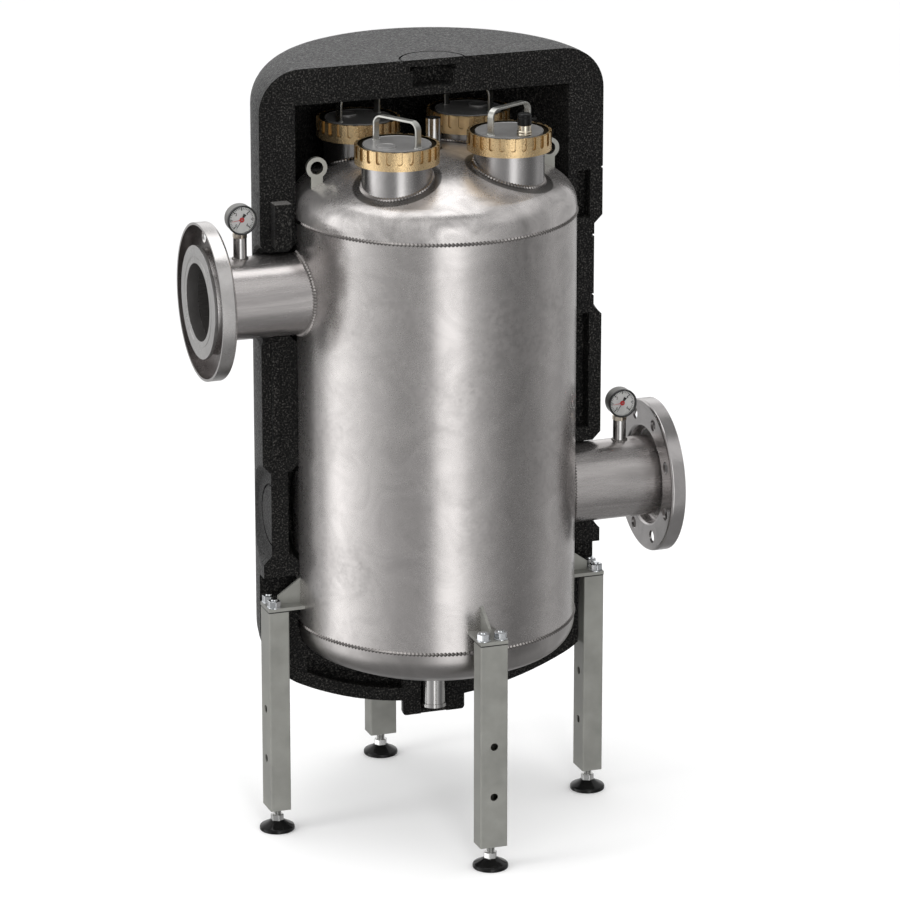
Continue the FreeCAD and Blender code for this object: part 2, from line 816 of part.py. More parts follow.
def gauges():
    stubs, unions, cases, bezels, dials, lenses = [], [], [], [], [], []
    for name, (side, port_z) in PORTS.items():
        x = side * gauge_x
        z = port_z + gauge_centre_height
        stub_top = port_z + gauge_stub_top
        union_top = stub_top + union_height

        stub = tube(gauge_stub_radius, gauge_stub_bore, port_z, stub_top, x)
        stubs.append(stub.cut(across(pipe_radius, 0, side * face_reach, port_z)))
        unions.append(hexagon(union_flats, stub_top, union_top, x))

        back = gauge_case_back_y
        front = back - gauge_case_depth
        case = facing(gauge_case_radius, back, front, x, z)
        boss = rod(gauge_boss_radius, union_top, z, x)
        inside = facing(gauge_case_radius - gauge_case_wall, back - gauge_case_wall, front, x, z)
        glass_front = front - bezel_depth + lens_setback
        glass_back = glass_front + lens_thickness
        pin = facing(pin_radius, back - gauge_case_wall, glass_back + pin_lens_gap, x, z)
        cases.append(one([case.fuse(boss).cut(inside), pin]))

        rim_bore = bezel_radius - bezel_width
        bezels.append(
            facing(bezel_radius, front, front - bezel_depth, x, z).cut(
                facing(rim_bore, front, front - bezel_depth, x, z)
            )
        )
        lenses.append(facing(rim_bore, glass_back, glass_front, x, z))
        dial = facing(gauge_case_radius - gauge_case_wall, front + dial_thickness, front, x, z)
        dials.append(dial.cut(facing(pin_radius, front + dial_thickness, front, x, z)))

        low = front - pointer_layer_gap - pointer_thickness
        high = low - pointer_layer_gap - pointer_thickness
        needle = pointer_blade(
            pointer_length, pointer_tail, pointer_width, pointer_tail_width, pointer_thickness, low, x, z,
            pointer_angle_deg,
        )
        save(needle, "pointer_" + name)
        marker = pointer_blade(
            set_pointer_length, hub_radius, set_pointer_width, set_pointer_width, pointer_thickness, high, x, z,
            set_pointer_angle_deg,
        )
        save(marker, "set_pointer_" + name)
    save(Part.makeCompound(stubs), "gauge_stubs")
    save(Part.makeCompound(unions), "gauge_unions")
    save(Part.makeCompound(cases), "gauge_cases")
    save(Part.makeCompound(bezels), "gauge_bezels")
    save(Part.makeCompound(dials), "gauge_dials")
    save(Part.makeCompound(lenses), "gauge_lenses")


def bracket():
    """A bracket in its place at +X: a level plate with an upright gusset, welded to the barrel."""
    half = leg_width / 2
    plate = block((0, -half, leg_top_z), (leg_outer_radius, half, bracket_top_z))
    for y in (-bolt_spacing / 2, bolt_spacing / 2):
        plate = plate.cut(rod(bolt_radius + bolt_hole_gap, leg_top_z, bracket_top_z, bolt_circle_radius, y))
    points = [
        Vector(0, 0, bracket_top_z),
        Vector(gusset_outer_radius, 0, bracket_top_z),
        Vector(gusset_outer_radius, 0, bracket_top_z + gusset_outer_height),
        Vector(vessel_radius, 0, bracket_top_z + gusset_inner_height),
        Vector(0, 0, bracket_top_z + gusset_inner_height),
    ]
    web = Part.Face(loop(points)).extrude(Vector(0, gusset_thickness, 0))
    web = moved(web, 0, -gusset_thickness / 2, 0)
    return one([plate, web]).cut(rod(vessel_radius, seam_bottom_z, seam_top_z))


def leg():
    """A rectangular tube at +X with closed ends, two fixing holes and the foot's nut inside."""
    inner = leg_inner_radius
    outer = leg_outer_radius
    half = leg_width / 2
    body = block((inner, -half, leg_bottom_z), (outer, half, leg_top_z))
    body = body.cut(
        block(
            (inner + leg_wall, -half + leg_wall, leg_bottom_z + leg_end_plate),
            (outer - leg_wall, half - leg_wall, leg_top_z - leg_end_plate),
        )
    )
    inside_length = leg_top_z - leg_bottom_z - 2 * leg_end_plate
    corners = [e for e in body.Edges if e.Length > inside_length + leg_end_plate]
    body = body.makeFillet(leg_wall, corners)
    low_hole = leg_bottom_z + leg_hole_rise
    for z in (low_hole, low_hole + leg_hole_pitch):
        body = body.cut(across(leg_hole_radius, inner - leg_wall, outer + leg_wall, z))
    nut_low = leg_bottom_z + leg_end_plate
    nut_high = nut_low + foot_nut_height
    body = one([body, rod(foot_nut_radius, nut_low, nut_high, leg_circle_radius)])
    return body.cut(rod(spindle_radius + spindle_clearance, leg_bottom_z, nut_high, leg_circle_radius))


def leg_bolt(y):
    """A stud on the leg's top plate, with its washer and nut."""
    stud = rod(bolt_radius, leg_top_z, bracket_top_z + washer_thickness + bolt_nut_height + bolt_end,
               bolt_circle_radius, y)
    washer = rod(washer_radius, bracket_top_z, bracket_top_z + washer_thickness, bolt_circle_radius, y)
    low = bracket_top_z + washer_thickness
    nut = hexagon(bolt_nut_flats, low, low + bolt_nut_height, bolt_circle_radius, y)
    return one([stud, washer, nut])


def supports():
    bolts = [leg_bolt(-bolt_spacing / 2), leg_bolt(bolt_spacing / 2)]
    save(Part.makeCompound([spun(bracket(), angle) for angle in LEGS.values()]), "leg_brackets")
    save(Part.makeCompound([spun(leg(), angle) for angle in LEGS.values()]), "legs")
    save(Part.makeCompound([spun(bolt, angle) for angle in LEGS.values() for bolt in bolts]), "leg_bolts")

    x = leg_circle_radius
    start = Vector(x, 0, 0)
    steps = [
        (Vector(x + foot_pad_radius, 0, 0),),
        (Vector(x + foot_pad_radius, 0, foot_pad_rim),),
        (Vector(x + foot_pad_top_radius, 0, foot_pad_height),),
        (Vector(x, 0, foot_pad_height),),
    ]
    pad = turned(wire_of(start, steps), Z, 360.0, Vector(x, 0, 0))
    socket_z = foot_pad_height - foot_socket_depth
    pad = pad.cut(rod(spindle_radius, socket_z, foot_pad_height, x))
    hex_top = foot_pad_height + foot_hex_height
    spindle = one([
        rod(spindle_radius, socket_z, leg_bottom_z + spindle_engagement, x),
        hexagon(foot_hex_flats, foot_pad_height, hex_top, x),
    ])
    for name, angle in LEGS.items():
        save(spun(pad, angle), "foot_pad_" + name)
        save(spun(spindle, angle), "foot_spindle_" + name)


def cone(wide, narrow, start, end, z):
    """A cone along X, wide at its start."""
    direction = X if end > start else X.negative()
    return Part.makeCone(wide, narrow, abs(end - start), Vector(start, 0, z), direction)


def port_cut(side, z, through):
    """A round port in the foam with bevelled edges. A closed port keeps a web in the middle."""
    outside = foam_radius
    web_out = side * (outside - port_outer_chamfer)
    web_in = side * (outside - port_outer_chamfer - port_web)
    deep = side * (cavity_radius - port_inner_chamfer)
    far = side * (outside + port_outer_chamfer)
    tools = [cone(port_radius + 2 * port_outer_chamfer, port_radius, far, web_out, z)]
    if through:
        tools.append(across(port_radius, web_out, deep, z))
    else:
        tools.append(across(port_radius, web_in, deep, z))
        ring = across(port_ring_radius, web_out, web_out - side * port_ring_depth, z)
        core = across(port_ring_radius - port_ring_width, web_out, web_out - side * port_ring_depth, z)
        tools.append(ring.cut(core))
    wide = port_radius + port_inner_chamfer
    tools.append(cone(wide, port_radius, side * cavity_radius, side * (cavity_radius + port_inner_chamfer), z))
    return tools


def band_groove():
    """A V groove around the shell's outer wall, level with the top of the barrel."""
    z = seam_top_z + band_groove_rise
    outer = foam_radius + band_groove_depth
    points = [
        Vector(outer, 0, z - band_groove_width),
        Vector(outer, 0, z + band_groove_width),
        Vector(foam_radius - band_groove_depth, 0, z),
    ]
    return turned(loop(points))


def mating_grooves():
    """The grooves in the parting face, two beside the closed and open ports and one under the vessel."""
    inner = cavity_radius + groove_inset
    outer = inner + groove_width
    low_end = outlet_z + port_radius + port_inner_chamfer + groove_end_gap
    closed_port = port_radius + groove_end_gap
    upper_low = inlet_z + closed_port
    spans = [(low_end, inlet_z - closed_port), (upper_low, upper_low + groove_height)]
    grooves = [block((inner, -groove_depth, low), (outer, groove_depth, high)) for low, high in spans]
    near = head_blank(foam_clearance + groove_inset, head_bottom_rim_z, -1)
    far = head_blank(foam_clearance + groove_inset + groove_width, head_bottom_rim_z, -1)
    room = block((-floor_groove_end, -groove_depth, boss_bottom_z), (-boss_radius, groove_depth, head_bottom_rim_z))
    return grooves + [far.cut(near).common(room)]


def shell():
    """The rear half of the insulation, one moulding split from its front half at y = 0."""
    outer = dish_points(foam_radius - vessel_radius, head_bottom_rim_z, -1)
    inner = dish_points(foam_clearance, head_bottom_rim_z, -1)
    edge = foam_edge_radius
    bend = edge * (1 - math.cos(math.radians(45)))
    steps = [
        (outer[1], outer[2]),
        (outer[3], outer[4]),
        (Vector(foam_radius, 0, foam_top_z - edge),),
        (Vector(foam_radius - bend, 0, foam_top_z - bend), Vector(foam_radius - edge, 0, foam_top_z)),
        (Vector(0, 0, foam_top_z),),
        (Vector(0, 0, foam_ceiling_z),),
        (Vector(cavity_radius, 0, foam_ceiling_z),),
        (inner[4],),
        (inner[3], inner[2]),
        (inner[1], inner[0]),
    ]
    foam = turned(wire_of(outer[0], steps), Z, 180.0)

    boss_edge = boss_edge_radius
    boss_bend = boss_edge * (1 - math.cos(math.radians(45)))
    boss_top = outer[1].z
    boss = turned(
        wire_of(
            Vector(0, 0, boss_bottom_z),
            [
                (Vector(boss_radius - boss_edge, 0, boss_bottom_z),),
                (
                    Vector(boss_radius - boss_bend, 0, boss_bottom_z + boss_bend),
                    Vector(boss_radius, 0, boss_bottom_z + boss_edge),
                ),
                (Vector(boss_radius, 0, boss_top),),
                (Vector(0, 0, boss_top),),
            ],
        ),
        Z,
        180.0,
    )
    foam = foam.fuse(boss)
    tongue_in = -cavity_radius - tongue_inset
    tongue_out = tongue_in - tongue_width
    tongue = Part.Face(
        loop([
            Vector(tongue_out, -tongue_reach, tongue_bottom_z + tongue_chamfer),
            Vector(tongue_out, -tongue_reach, tongue_top_z),
            Vector(tongue_in, -tongue_reach, tongue_top_z),
            Vector(tongue_in, -tongue_reach, tongue_bottom_z + tongue_chamfer),
            Vector(tongue_in - tongue_chamfer, -tongue_reach, tongue_bottom_z),
            Vector(tongue_out + tongue_chamfer, -tongue_reach, tongue_bottom_z),
        ])
    ).extrude(Vector(0, 2 * tongue_reach, 0))
    rib_in = -cavity_radius - rib_inset
    rib_low = outlet_z + port_radius + port_outer_chamfer + rib_end_gap
    rib_high = inlet_z - port_radius - rib_end_gap
    rib = block((rib_in - rib_width, -rib_reach, rib_low), (rib_in, rib_reach, rib_high))
    foam = foam.multiFuse([tongue, rib])

    tools = [rod(drain_rim_radius + boss_hole_gap, boss_bottom_z, head_bottom_rim_z)]
    for side, z in PORTS.values():
        tools += port_cut(side, z, True)
        tools += port_cut(-side, z, False)
    half = seam_bead_width / 2 + foam_seam_relief_side
    relief = vessel_radius + seam_bead_height + foam_seam_gap
    tools += [rod(relief, z - half, z + half) for z in (seam_bottom_z, seam_top_z)]
    half = leg_width / 2 + leg_slot_gap
    leg_inner = leg_inner_radius - leg_slot_inner_gap
    far = foam_radius + leg_slot_gap
    slot_low = leg_top_z - leg_slot_gap
    for side in (-1, 1):
        for inner, low in ((leg_inner, boss_bottom_z), (cavity_radius - leg_slot_gap, slot_low)):
            x_low, x_high = sorted((side * inner, side * far))
            tools.append(block((x_low, -half, low), (x_high, half, leg_slot_top_z)))
    tools.append(block((-half, rear_slot_inner_y, boss_bottom_z), (half, far, leg_slot_top_z)))
    tools.append(band_groove())
    groove_floor = foam_top_z - roof_groove_depth
    tools.append(tube(roof_plug_radius, roof_plug_radius - roof_groove_width, groove_floor, foam_top_z))
    step_z = foam_top_z - roof_recess_step_depth
    tools.append(rod(roof_recess_radius, foam_top_z - roof_recess_depth, step_z))
    tools.append(rod(roof_recess_radius + roof_recess_step, step_z, foam_top_z - roof_recess_cover))
    tools += mating_grooves()
    for tool in tools:
        foam = foam.cut(tool)
    save(foam.removeSplitter(), "insulation_shell")


os.makedirs("parts", exist_ok=True)
vessel()
welds()
necks()
gaskets()
lids()
air_vent()
ports_and_eyes()
pipes()
gauges()
supports()
shell()
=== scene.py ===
import bpy
import math
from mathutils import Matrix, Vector


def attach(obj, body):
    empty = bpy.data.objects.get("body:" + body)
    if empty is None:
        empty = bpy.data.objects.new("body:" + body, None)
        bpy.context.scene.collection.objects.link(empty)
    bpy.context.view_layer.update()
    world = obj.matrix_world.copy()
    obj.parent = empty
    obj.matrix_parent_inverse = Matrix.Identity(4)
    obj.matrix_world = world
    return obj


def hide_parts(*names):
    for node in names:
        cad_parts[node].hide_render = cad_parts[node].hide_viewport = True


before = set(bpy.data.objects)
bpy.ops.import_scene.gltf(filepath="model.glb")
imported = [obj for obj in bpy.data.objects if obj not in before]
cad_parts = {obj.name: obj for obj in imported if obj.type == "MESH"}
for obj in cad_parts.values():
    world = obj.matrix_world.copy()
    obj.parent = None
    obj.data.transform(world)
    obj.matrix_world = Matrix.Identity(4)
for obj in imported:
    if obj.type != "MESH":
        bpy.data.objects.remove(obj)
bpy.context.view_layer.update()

# ---- Camera: a long lens, a little above the object and to its left, as in the photograph.
camera_data = bpy.data.cameras.new("camera")
camera_data.lens = 198.84
camera_data.sensor_width = 36.0
camera_data.clip_end = 60.0
camera = bpy.data.objects.new("camera", camera_data)
camera.location = (-2.2292, -6.3053, 2.6406)
camera.rotation_euler = (math.radians(72.57), 0.0, math.radians(-19.67))
bpy.context.scene.collection.objects.link(camera)
bpy.context.scene.camera = camera
bpy.context.scene.view_settings.view_transform = "Standard"


# ---- Floor and studio light: a pale seamless floor, which the camera sees as white, and soft light from
# all round. Bright metal mirrors tall pale panels on the left, in front and behind, with dark gaps between.
def fresh():
    """Deselects everything, so that the next operator acts on the new piece alone."""
    bpy.ops.object.select_all(action="DESELECT")


def named(name):
    piece = bpy.context.object
    piece.name = name
    piece.data.name = name
    return piece


def painted(piece, material):
    piece.data.materials.clear()
    piece.data.materials.append(material)


def material_named(name, colour, roughness, metallic=0.0):
    """A new material with its shader's plain values set, and what is needed to wire more into it."""
    material = bpy.data.materials.new(name)
    material.use_nodes = True
    material.diffuse_color = colour + (1.0,)
    tree = material.node_tree
    shader = tree.nodes["Principled BSDF"]
    shader.inputs["Base Color"].default_value = colour + (1.0,)
    shader.inputs["Roughness"].default_value = roughness
    shader.inputs["Metallic"].default_value = metallic
    return material, tree, shader


def noise(tree, vector, scale, detail, roughness=0.5):
    node = tree.nodes.new("ShaderNodeTexNoise")
    node.inputs["Detail"].default_value = detail
    node.inputs["Roughness"].default_value = roughness
    tree.links.new(vector, node.inputs["Vector"])
    if isinstance(scale, float):
        node.inputs["Scale"].default_value = scale
    else:
        tree.links.new(scale, node.inputs["Scale"])
    return node.outputs["Fac"]


def ranged(tree, value, low, high, to_low=0.0, to_high=1.0):
    node = tree.nodes.new("ShaderNodeMapRange")
    node.inputs["From Min"].default_value = low
    node.inputs["From Max"].default_value = high
    node.inputs["To Min"].default_value = to_low
    node.inputs["To Max"].default_value = to_high
    tree.links.new(value, node.inputs["Value"])
    return node.outputs["Result"]


def maths(tree, operation, first, second):
    """A Math node. Each side is a number or another node's output."""
    node = tree.nodes.new("ShaderNodeMath")
    node.operation = operation
    for socket, value in zip(node.inputs, (first, second)):
        if isinstance(value, float):
            socket.default_value = value
        else:
            tree.links.new(value, socket)
    return node.outputs["Value"]


def blended(tree, factor, first, second, kind="MIX"):
    """A colour mix. Each side is a colour or another node's output."""
    node = tree.nodes.new("ShaderNodeMix")
    node.data_type = "RGBA"
    node.blend_type = kind
    for socket, value in ((node.inputs["A"], first), (node.inputs["B"], second)):
        if isinstance(value, tuple):
            socket.default_value = value + (1.0,)
        else:
            tree.links.new(value, socket)
    if isinstance(factor, float):
        node.inputs["Factor"].default_value = factor
    else:
        tree.links.new(factor, node.inputs["Factor"])
    return node.outputs["Result"]


fresh()
bpy.ops.mesh.primitive_plane_add(size=60.0, location=(0.0, 0.0, 0.0))
floor = named("floor")
floor_paint, tree, shader = material_named("pale_floor", (0.86, 0.86, 0.86), 0.9)
path = tree.nodes.new("ShaderNodeLightPath")
floor_shade = blended(tree, path.outputs["Is Camera Ray"], (0.8, 0.8, 0.8), (1.0, 1.0, 1.0))
tree.links.new(floor_shade, shader.inputs["Base Color"])
shader.inputs["Specular IOR Level"].default_value = 0.0
painted(floor, floor_paint)
floor.visible_glossy = False

world = bpy.data.worlds.new("studio")
world.use_nodes = True
bpy.context.scene.world = world
tree = world.node_tree
heading = tree.nodes.new("ShaderNodeTexCoord").outputs["Generated"]
apart = tree.nodes.new("ShaderNodeSeparateXYZ")
tree.links.new(heading, apart.inputs["Vector"])
turn = maths(tree, "ARCTAN2", apart.outputs["Y"], apart.outputs["X"])
panels = tree.nodes.new("ShaderNodeValToRGB")
tree.links.new(ranged(tree, turn, -math.pi, math.pi), panels.inputs["Fac"])
panel_levels = [
    (-180, 1.3), (-168, 0.92), (-154, 0.64), (-140, 0.4), (-121, 0.33), (-109, 0.39), (-105, 1.6),
    (-90, 1.75), (-81, 0.72), (-65, 0.4), (-50, 0.19), (-36, 0.14), (-18, 0.23), (0, 0.48), (18, 0.35),
    (35, 0.5), (60, 0.62), (85, 0.62), (105, 0.52), (130, 0.34), (151, 0.42), (158, 1.5), (166, 1.9),
    (173, 1.6), (180, 1.3),
]
for index, (azimuth, level) in enumerate(panel_levels):
    place = (azimuth + 180.0) / 360.0
    stop = panels.color_ramp.elements[index] if index < 2 else panels.color_ramp.elements.new(place)
    stop.position = place
    stop.color = (level, level, level, 1.0)
overhead = ranged(tree, apart.outputs["Z"], 0.4, 0.6)
straight_up = ranged(tree, apart.outputs["Z"], 0.84, 0.9)
below = ranged(tree, apart.outputs["Z"], -0.5, -0.75)
far_side = ranged(tree, apart.outputs["Y"], 0.55, 0.8)
behind = maths(tree, "MULTIPLY", far_side, ranged(tree, apart.outputs["Z"], 0.02, 0.15))
mirrored = blended(tree, behind, panels.outputs["Color"], (1.12, 1.12, 1.12))
mirrored = blended(tree, overhead, mirrored, (0.7, 0.7, 0.7))
mirrored = blended(tree, straight_up, mirrored, (0.22, 0.22, 0.22))
mirrored = blended(tree, below, mirrored, (0.25, 0.25, 0.25))
path = tree.nodes.new("ShaderNodeLightPath")
shade = blended(tree, path.outputs["Is Glossy Ray"], (1.0, 1.0, 1.0), mirrored)
tree.links.new(shade, tree.nodes["Background"].inputs["Color"])


def soft_lamp(name, place, aim, width, tall, watts):
    """A rectangular lamp at a place that faces a point. Metal doesn't mirror it, unless it is told to."""
    data = bpy.data.lights.new(name, "AREA")
    data.shape = "RECTANGLE"
    data.size = width
    data.size_y = tall
    data.energy = watts
    lamp = bpy.data.objects.new(name, data)
    lamp.location = place
    lamp.rotation_euler = (Vector(aim) - lamp.location).to_track_quat("-Z", "Y").to_euler()
    lamp.visible_camera = False
    lamp.visible_glossy = False
    bpy.context.scene.collection.objects.link(lamp)
    return lamp


lamp_aim = (0.0, 0.0, 0.55)
soft_lamp("lamp_front", (-0.4, -3.2, 1.3), lamp_aim, 0.7, 2.6, 30.0)
soft_lamp("lamp_left", (-3.2, -0.3, 1.3), lamp_aim, 1.0, 2.6, 30.0)
lamp_over = soft_lamp("lamp_over", (-0.2, 0.25, 2.2), (-0.2, 0.25, 0.0), 1.4, 1.3, 9.0)
lamp_over.visible_glossy = True


# ---- The vessel: a rolled and dished stainless steel skin, pickled after welding, so it is satin with a
# fine grain and faint scuffs. The head has a painted reflection, a dark ring, round each neck, the pipes
# have painted shade inside, and the two lifting eyes are of duller plate.
def group_named(name, inputs, outputs):
    """A shader node group, with inputs given as (name, kind, value) and outputs as (name, kind)."""
    group = bpy.data.node_groups.new(name, "ShaderNodeTree")
    for label, kind, value in inputs:
        socket = group.interface.new_socket(label, in_out="INPUT", socket_type=kind)
        socket.default_value = value
    for label, kind in outputs:
        group.interface.new_socket(label, in_out="OUTPUT", socket_type=kind)
    return group, group.nodes.new("NodeGroupInput"), group.nodes.new("NodeGroupOutput")


metal_grain, into, out = group_named(
    "metal_grain",
    [
        ("Colour", "NodeSocketColor", (0.6, 0.6, 0.6, 1.0)),
        ("Scuff Colour", "NodeSocketColor", (0.3, 0.3, 0.3, 1.0)),
        ("Scuffs", "NodeSocketFloat", 0.3),
        ("Roughness", "NodeSocketFloat", 0.4),
        ("Roughness Spread", "NodeSocketFloat", 0.1),
        ("Grain Scale", "NodeSocketFloat", 600.0),
        ("Stretch", "NodeSocketVector", (1.0, 1.0, 1.0)),
        ("Clouds", "NodeSocketFloat", 0.2),
    ],
    [("Colour", "NodeSocketColor"), ("Roughness", "NodeSocketFloat"), ("Height", "NodeSocketFloat")],
)
stretched = metal_grain.nodes.new("ShaderNodeVectorMath")
stretched.operation = "MULTIPLY"
metal_grain.links.new(metal_grain.nodes.new("ShaderNodeTexCoord").outputs["Object"], stretched.inputs[0])
metal_grain.links.new(into.outputs["Stretch"], stretched.inputs[1])
place = stretched.outputs["Vector"]
fine = noise(metal_grain, place, into.outputs["Grain Scale"], 3.0)
cloudy = noise(metal_grain, place, 9.0, 4.0, 0.6)
patch = ranged(metal_grain, noise(metal_grain, place, 9.0, 4.0, 0.65), 0.5, 0.68)
speck = ranged(metal_grain, noise(metal_grain, place, 110.0, 3.0, 0.6), 0.4, 0.7)
scuff = maths(metal_grain, "MULTIPLY", patch, speck)
scuff = maths(metal_grain, "MULTIPLY", scuff, into.outputs["Scuffs"])
swirls = noise(metal_grain, place, 16.0, 5.0, 0.62)
swirls.node.inputs["Distortion"].default_value = 1.6
tone = ranged(metal_grain, swirls, 0.35, 0.65, -0.6, 0.4)
tone = maths(metal_grain, "MULTIPLY", tone, into.outputs["Clouds"])
tone = maths(metal_grain, "ADD", tone, 1.0)
grain_tone = ranged(metal_grain, fine, 0.3, 0.7, 0.97, 1.03)
tone = maths(metal_grain, "MULTIPLY", tone, grain_tone)
toned = metal_grain.nodes.new("ShaderNodeVectorMath")
toned.operation = "SCALE"
metal_grain.links.new(into.outputs["Colour"], toned.inputs[0])
metal_grain.links.new(tone, toned.inputs["Scale"])
scuffed = blended(metal_grain, scuff, toned.outputs["Vector"], (0.3, 0.3, 0.3))
metal_grain.links.new(into.outputs["Scuff Colour"], scuffed.node.inputs["B"])
metal_grain.links.new(scuffed, out.inputs["Colour"])
spread = ranged(metal_grain, cloudy, 0.35, 0.65, -0.5, 0.5)
spread = maths(metal_grain, "ADD", spread, ranged(metal_grain, fine, 0.3, 0.7, -0.3, 0.3))
spread = maths(metal_grain, "MULTIPLY", spread, into.outputs["Roughness Spread"])
metal_grain.links.new(maths(metal_grain, "ADD", into.outputs["Roughness"], spread), out.inputs["Roughness"])
metal_grain.links.new(fine, out.inputs["Height"])


def metal(
    name, colour, roughness, scuffs=0.2, spread=0.1, grain=600.0, bump=0.0001, metallic=1.0,
    stretch=(1.0, 1.0, 1.0), clouds=0.15,
):
    """A metal with the shared grain. Bump is the grain's depth in metres."""
    material, tree, shader = material_named(name, colour, roughness, metallic)
    grainy = tree.nodes.new("ShaderNodeGroup")
    grainy.node_tree = metal_grain
    grainy.inputs["Colour"].default_value = colour + (1.0,)
    grainy.inputs["Scuff Colour"].default_value = tuple(0.6 * part for part in colour) + (1.0,)
    grainy.inputs["Scuffs"].default_value = scuffs
    grainy.inputs["Roughness"].default_value = roughness
    grainy.inputs["Roughness Spread"].default_value = spread
    grainy.inputs["Grain Scale"].default_value = grain
    grainy.inputs["Stretch"].default_value = stretch
    grainy.inputs["Clouds"].default_value = clouds
    height = tree.nodes.new("ShaderNodeBump")
    height.inputs["Distance"].default_value = bump
    tree.links.new(grainy.outputs["Colour"], shader.inputs["Base Color"])
    tree.links.new(grainy.outputs["Roughness"], shader.inputs["Roughness"])
    tree.links.new(grainy.outputs["Height"], height.inputs["Height"])
    tree.links.new(height.outputs["Normal"], shader.inputs["Normal"])
    return material


def dressed(material, *nodes):
    """Gives CAD nodes their finish."""
    for node in nodes:
        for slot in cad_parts[node].material_slots:
            slot.material = material


def axis_distance(tree, place, centre, keep):
    """The distance of a place from a line through a centre. Keep has a 0 for the line's own direction."""
    across = tree.nodes.new("ShaderNodeVectorMath")
    across.operation = "MULTIPLY_ADD"
    across.inputs[1].default_value = keep
    across.inputs[2].default_value = [-part for part in centre]
    tree.links.new(place, across.inputs[0])
    distance = tree.nodes.new("ShaderNodeVectorMath")
    distance.operation = "LENGTH"
    tree.links.new(across.outputs["Vector"], distance.inputs[0])
    return distance.outputs["Value"]


def tinted(material, mask, colour):
    """Mixes a colour over a finish where a mask is above 0."""
    shader = material.node_tree.nodes["Principled BSDF"]
    source = shader.inputs["Base Color"].links[0].from_socket
    shade = blended(material.node_tree, mask, source, colour)
    material.node_tree.links.new(shade, shader.inputs["Base Color"])


def heat_rings(material, centre, near, far, amount):
    """Paints a dark reflection ring round an upright axis and round its mirror images, fading between two
    distances.
    """
    tree = material.node_tree
    folded = tree.nodes.new("ShaderNodeVectorMath")
    folded.operation = "ABSOLUTE"
    tree.links.new(tree.nodes.new("ShaderNodeTexCoord").outputs["Object"], folded.inputs[0])
    distance = axis_distance(tree, folded.outputs["Vector"], centre + (0.0,), (1.0, 1.0, 0.0))
    ring = ranged(tree, distance, near, far, amount, 0.0)
    ring.node.interpolation_type = "SMOOTHSTEP"
    tinted(material, ring, (0.1, 0.095, 0.09))


pipe_heights = {-1: 0.7896, 1: 0.4704}
pipe_radius = 0.05715
pipe_bore = 0.05415
dark_bore_radius = 0.0555


def bore_shade(material, height):
    """Paints shade into the inside of a pipe that lies along X at a height."""
    tree = material.node_tree
    shader = tree.nodes["Principled BSDF"]
    place = tree.nodes.new("ShaderNodeTexCoord").outputs["Object"]
    distance = axis_distance(tree, place, (0.0, 0.0, height), (0.0, 1.0, 1.0))
    inside = maths(tree, "LESS_THAN", distance, dark_bore_radius)
    tinted(material, inside, (0.06, 0.057, 0.055))
    metallic = shader.inputs["Metallic"].default_value
    tree.links.new(ranged(tree, inside, 0.0, 1.0, metallic, 0.1), shader.inputs["Metallic"])


for side, node in ((-1, "inlet_pipe"), (1, "outlet_pipe")):
    pipe_metal = metal(
        "pickled_" + node, (0.6, 0.57, 0.56), 0.26, scuffs=0.5, spread=0.1, grain=320.0, bump=0.00003,
        metallic=0.95, stretch=(0.14, 1.3, 1.3), clouds=0.3,
    )
    bore_shade(pipe_metal, pipe_heights[side])
    dressed(pipe_metal, node)
neck_x = 0.0815
neck_y = 0.0825
neck_places = {
    "front_left": (-neck_x, -neck_y),
    "front_right": (neck_x, -neck_y),
    "rear_left": (-neck_x, neck_y),
    "rear_right": (neck_x, neck_y),
}
barrel_metal = metal(
    "pickled_barrel", (0.56, 0.535, 0.525), 0.27, scuffs=0.6, spread=0.08, grain=420.0, bump=0.00002,
    metallic=0.93,
)
head_metal = metal(
    "pickled_head", (0.57, 0.545, 0.535), 0.3, scuffs=0.15, spread=0.12, grain=420.0, bump=0.00002,
    metallic=0.82, clouds=0.45,
)
# Painted reflection: a dark ring on the head round each neck, standing for the neck's dark mirror image.
heat_rings(head_metal, (neck_x, neck_y), 0.06, 0.0622, 0.88)
bottom_metal = metal(
    "pickled_base", (0.48, 0.46, 0.45), 0.34, scuffs=0.4, spread=0.08, grain=420.0, bump=0.00003
)
neck_metal = metal(
    "pickled_neck", (0.5, 0.485, 0.48), 0.26, scuffs=0.2, spread=0.04, grain=500.0, bump=0.00001
)
stub_metal = metal(
    "polished_stub", (0.62, 0.61, 0.6), 0.2, scuffs=0.05, spread=0.03, grain=900.0, bump=0.00001
)
hidden_metal = metal("plain_steel", (0.55, 0.54, 0.53), 0.4, scuffs=0.2, grain=300.0)
eye_metal = metal("eye_plate", (0.5, 0.5, 0.46), 0.45, scuffs=0.2, grain=600.0)
dressed(barrel_metal, "vessel_barrel")
dressed(head_metal, "top_head")
dressed(bottom_metal, "bottom_head")
dressed(neck_metal, "lid_necks")
dressed(stub_metal, "centre_port", "drain_port", "gauge_stubs")
dressed(eye_metal, "lifting_eyes")
dressed(hidden_metal, "inlet_baffle")
for name in neck_places:
    dressed(hidden_metal, "rod_sleeve_" + name, "magnets_" + name)


# ---- Weld beads: a rippled TIG bead round both head seams, and round the foot of each pipe, each neck, the
# centre port and each gauge stub. Each is a ring whose every other cross-section is raised, and it follows
# the surface under it.
def alone(piece):
    """Selects one piece and nothing else."""
    fresh()
    piece.select_set(True)
    bpy.context.view_layer.objects.active = piece


def in_edit(piece):
    alone(piece)
    bpy.ops.object.mode_set(mode="EDIT")


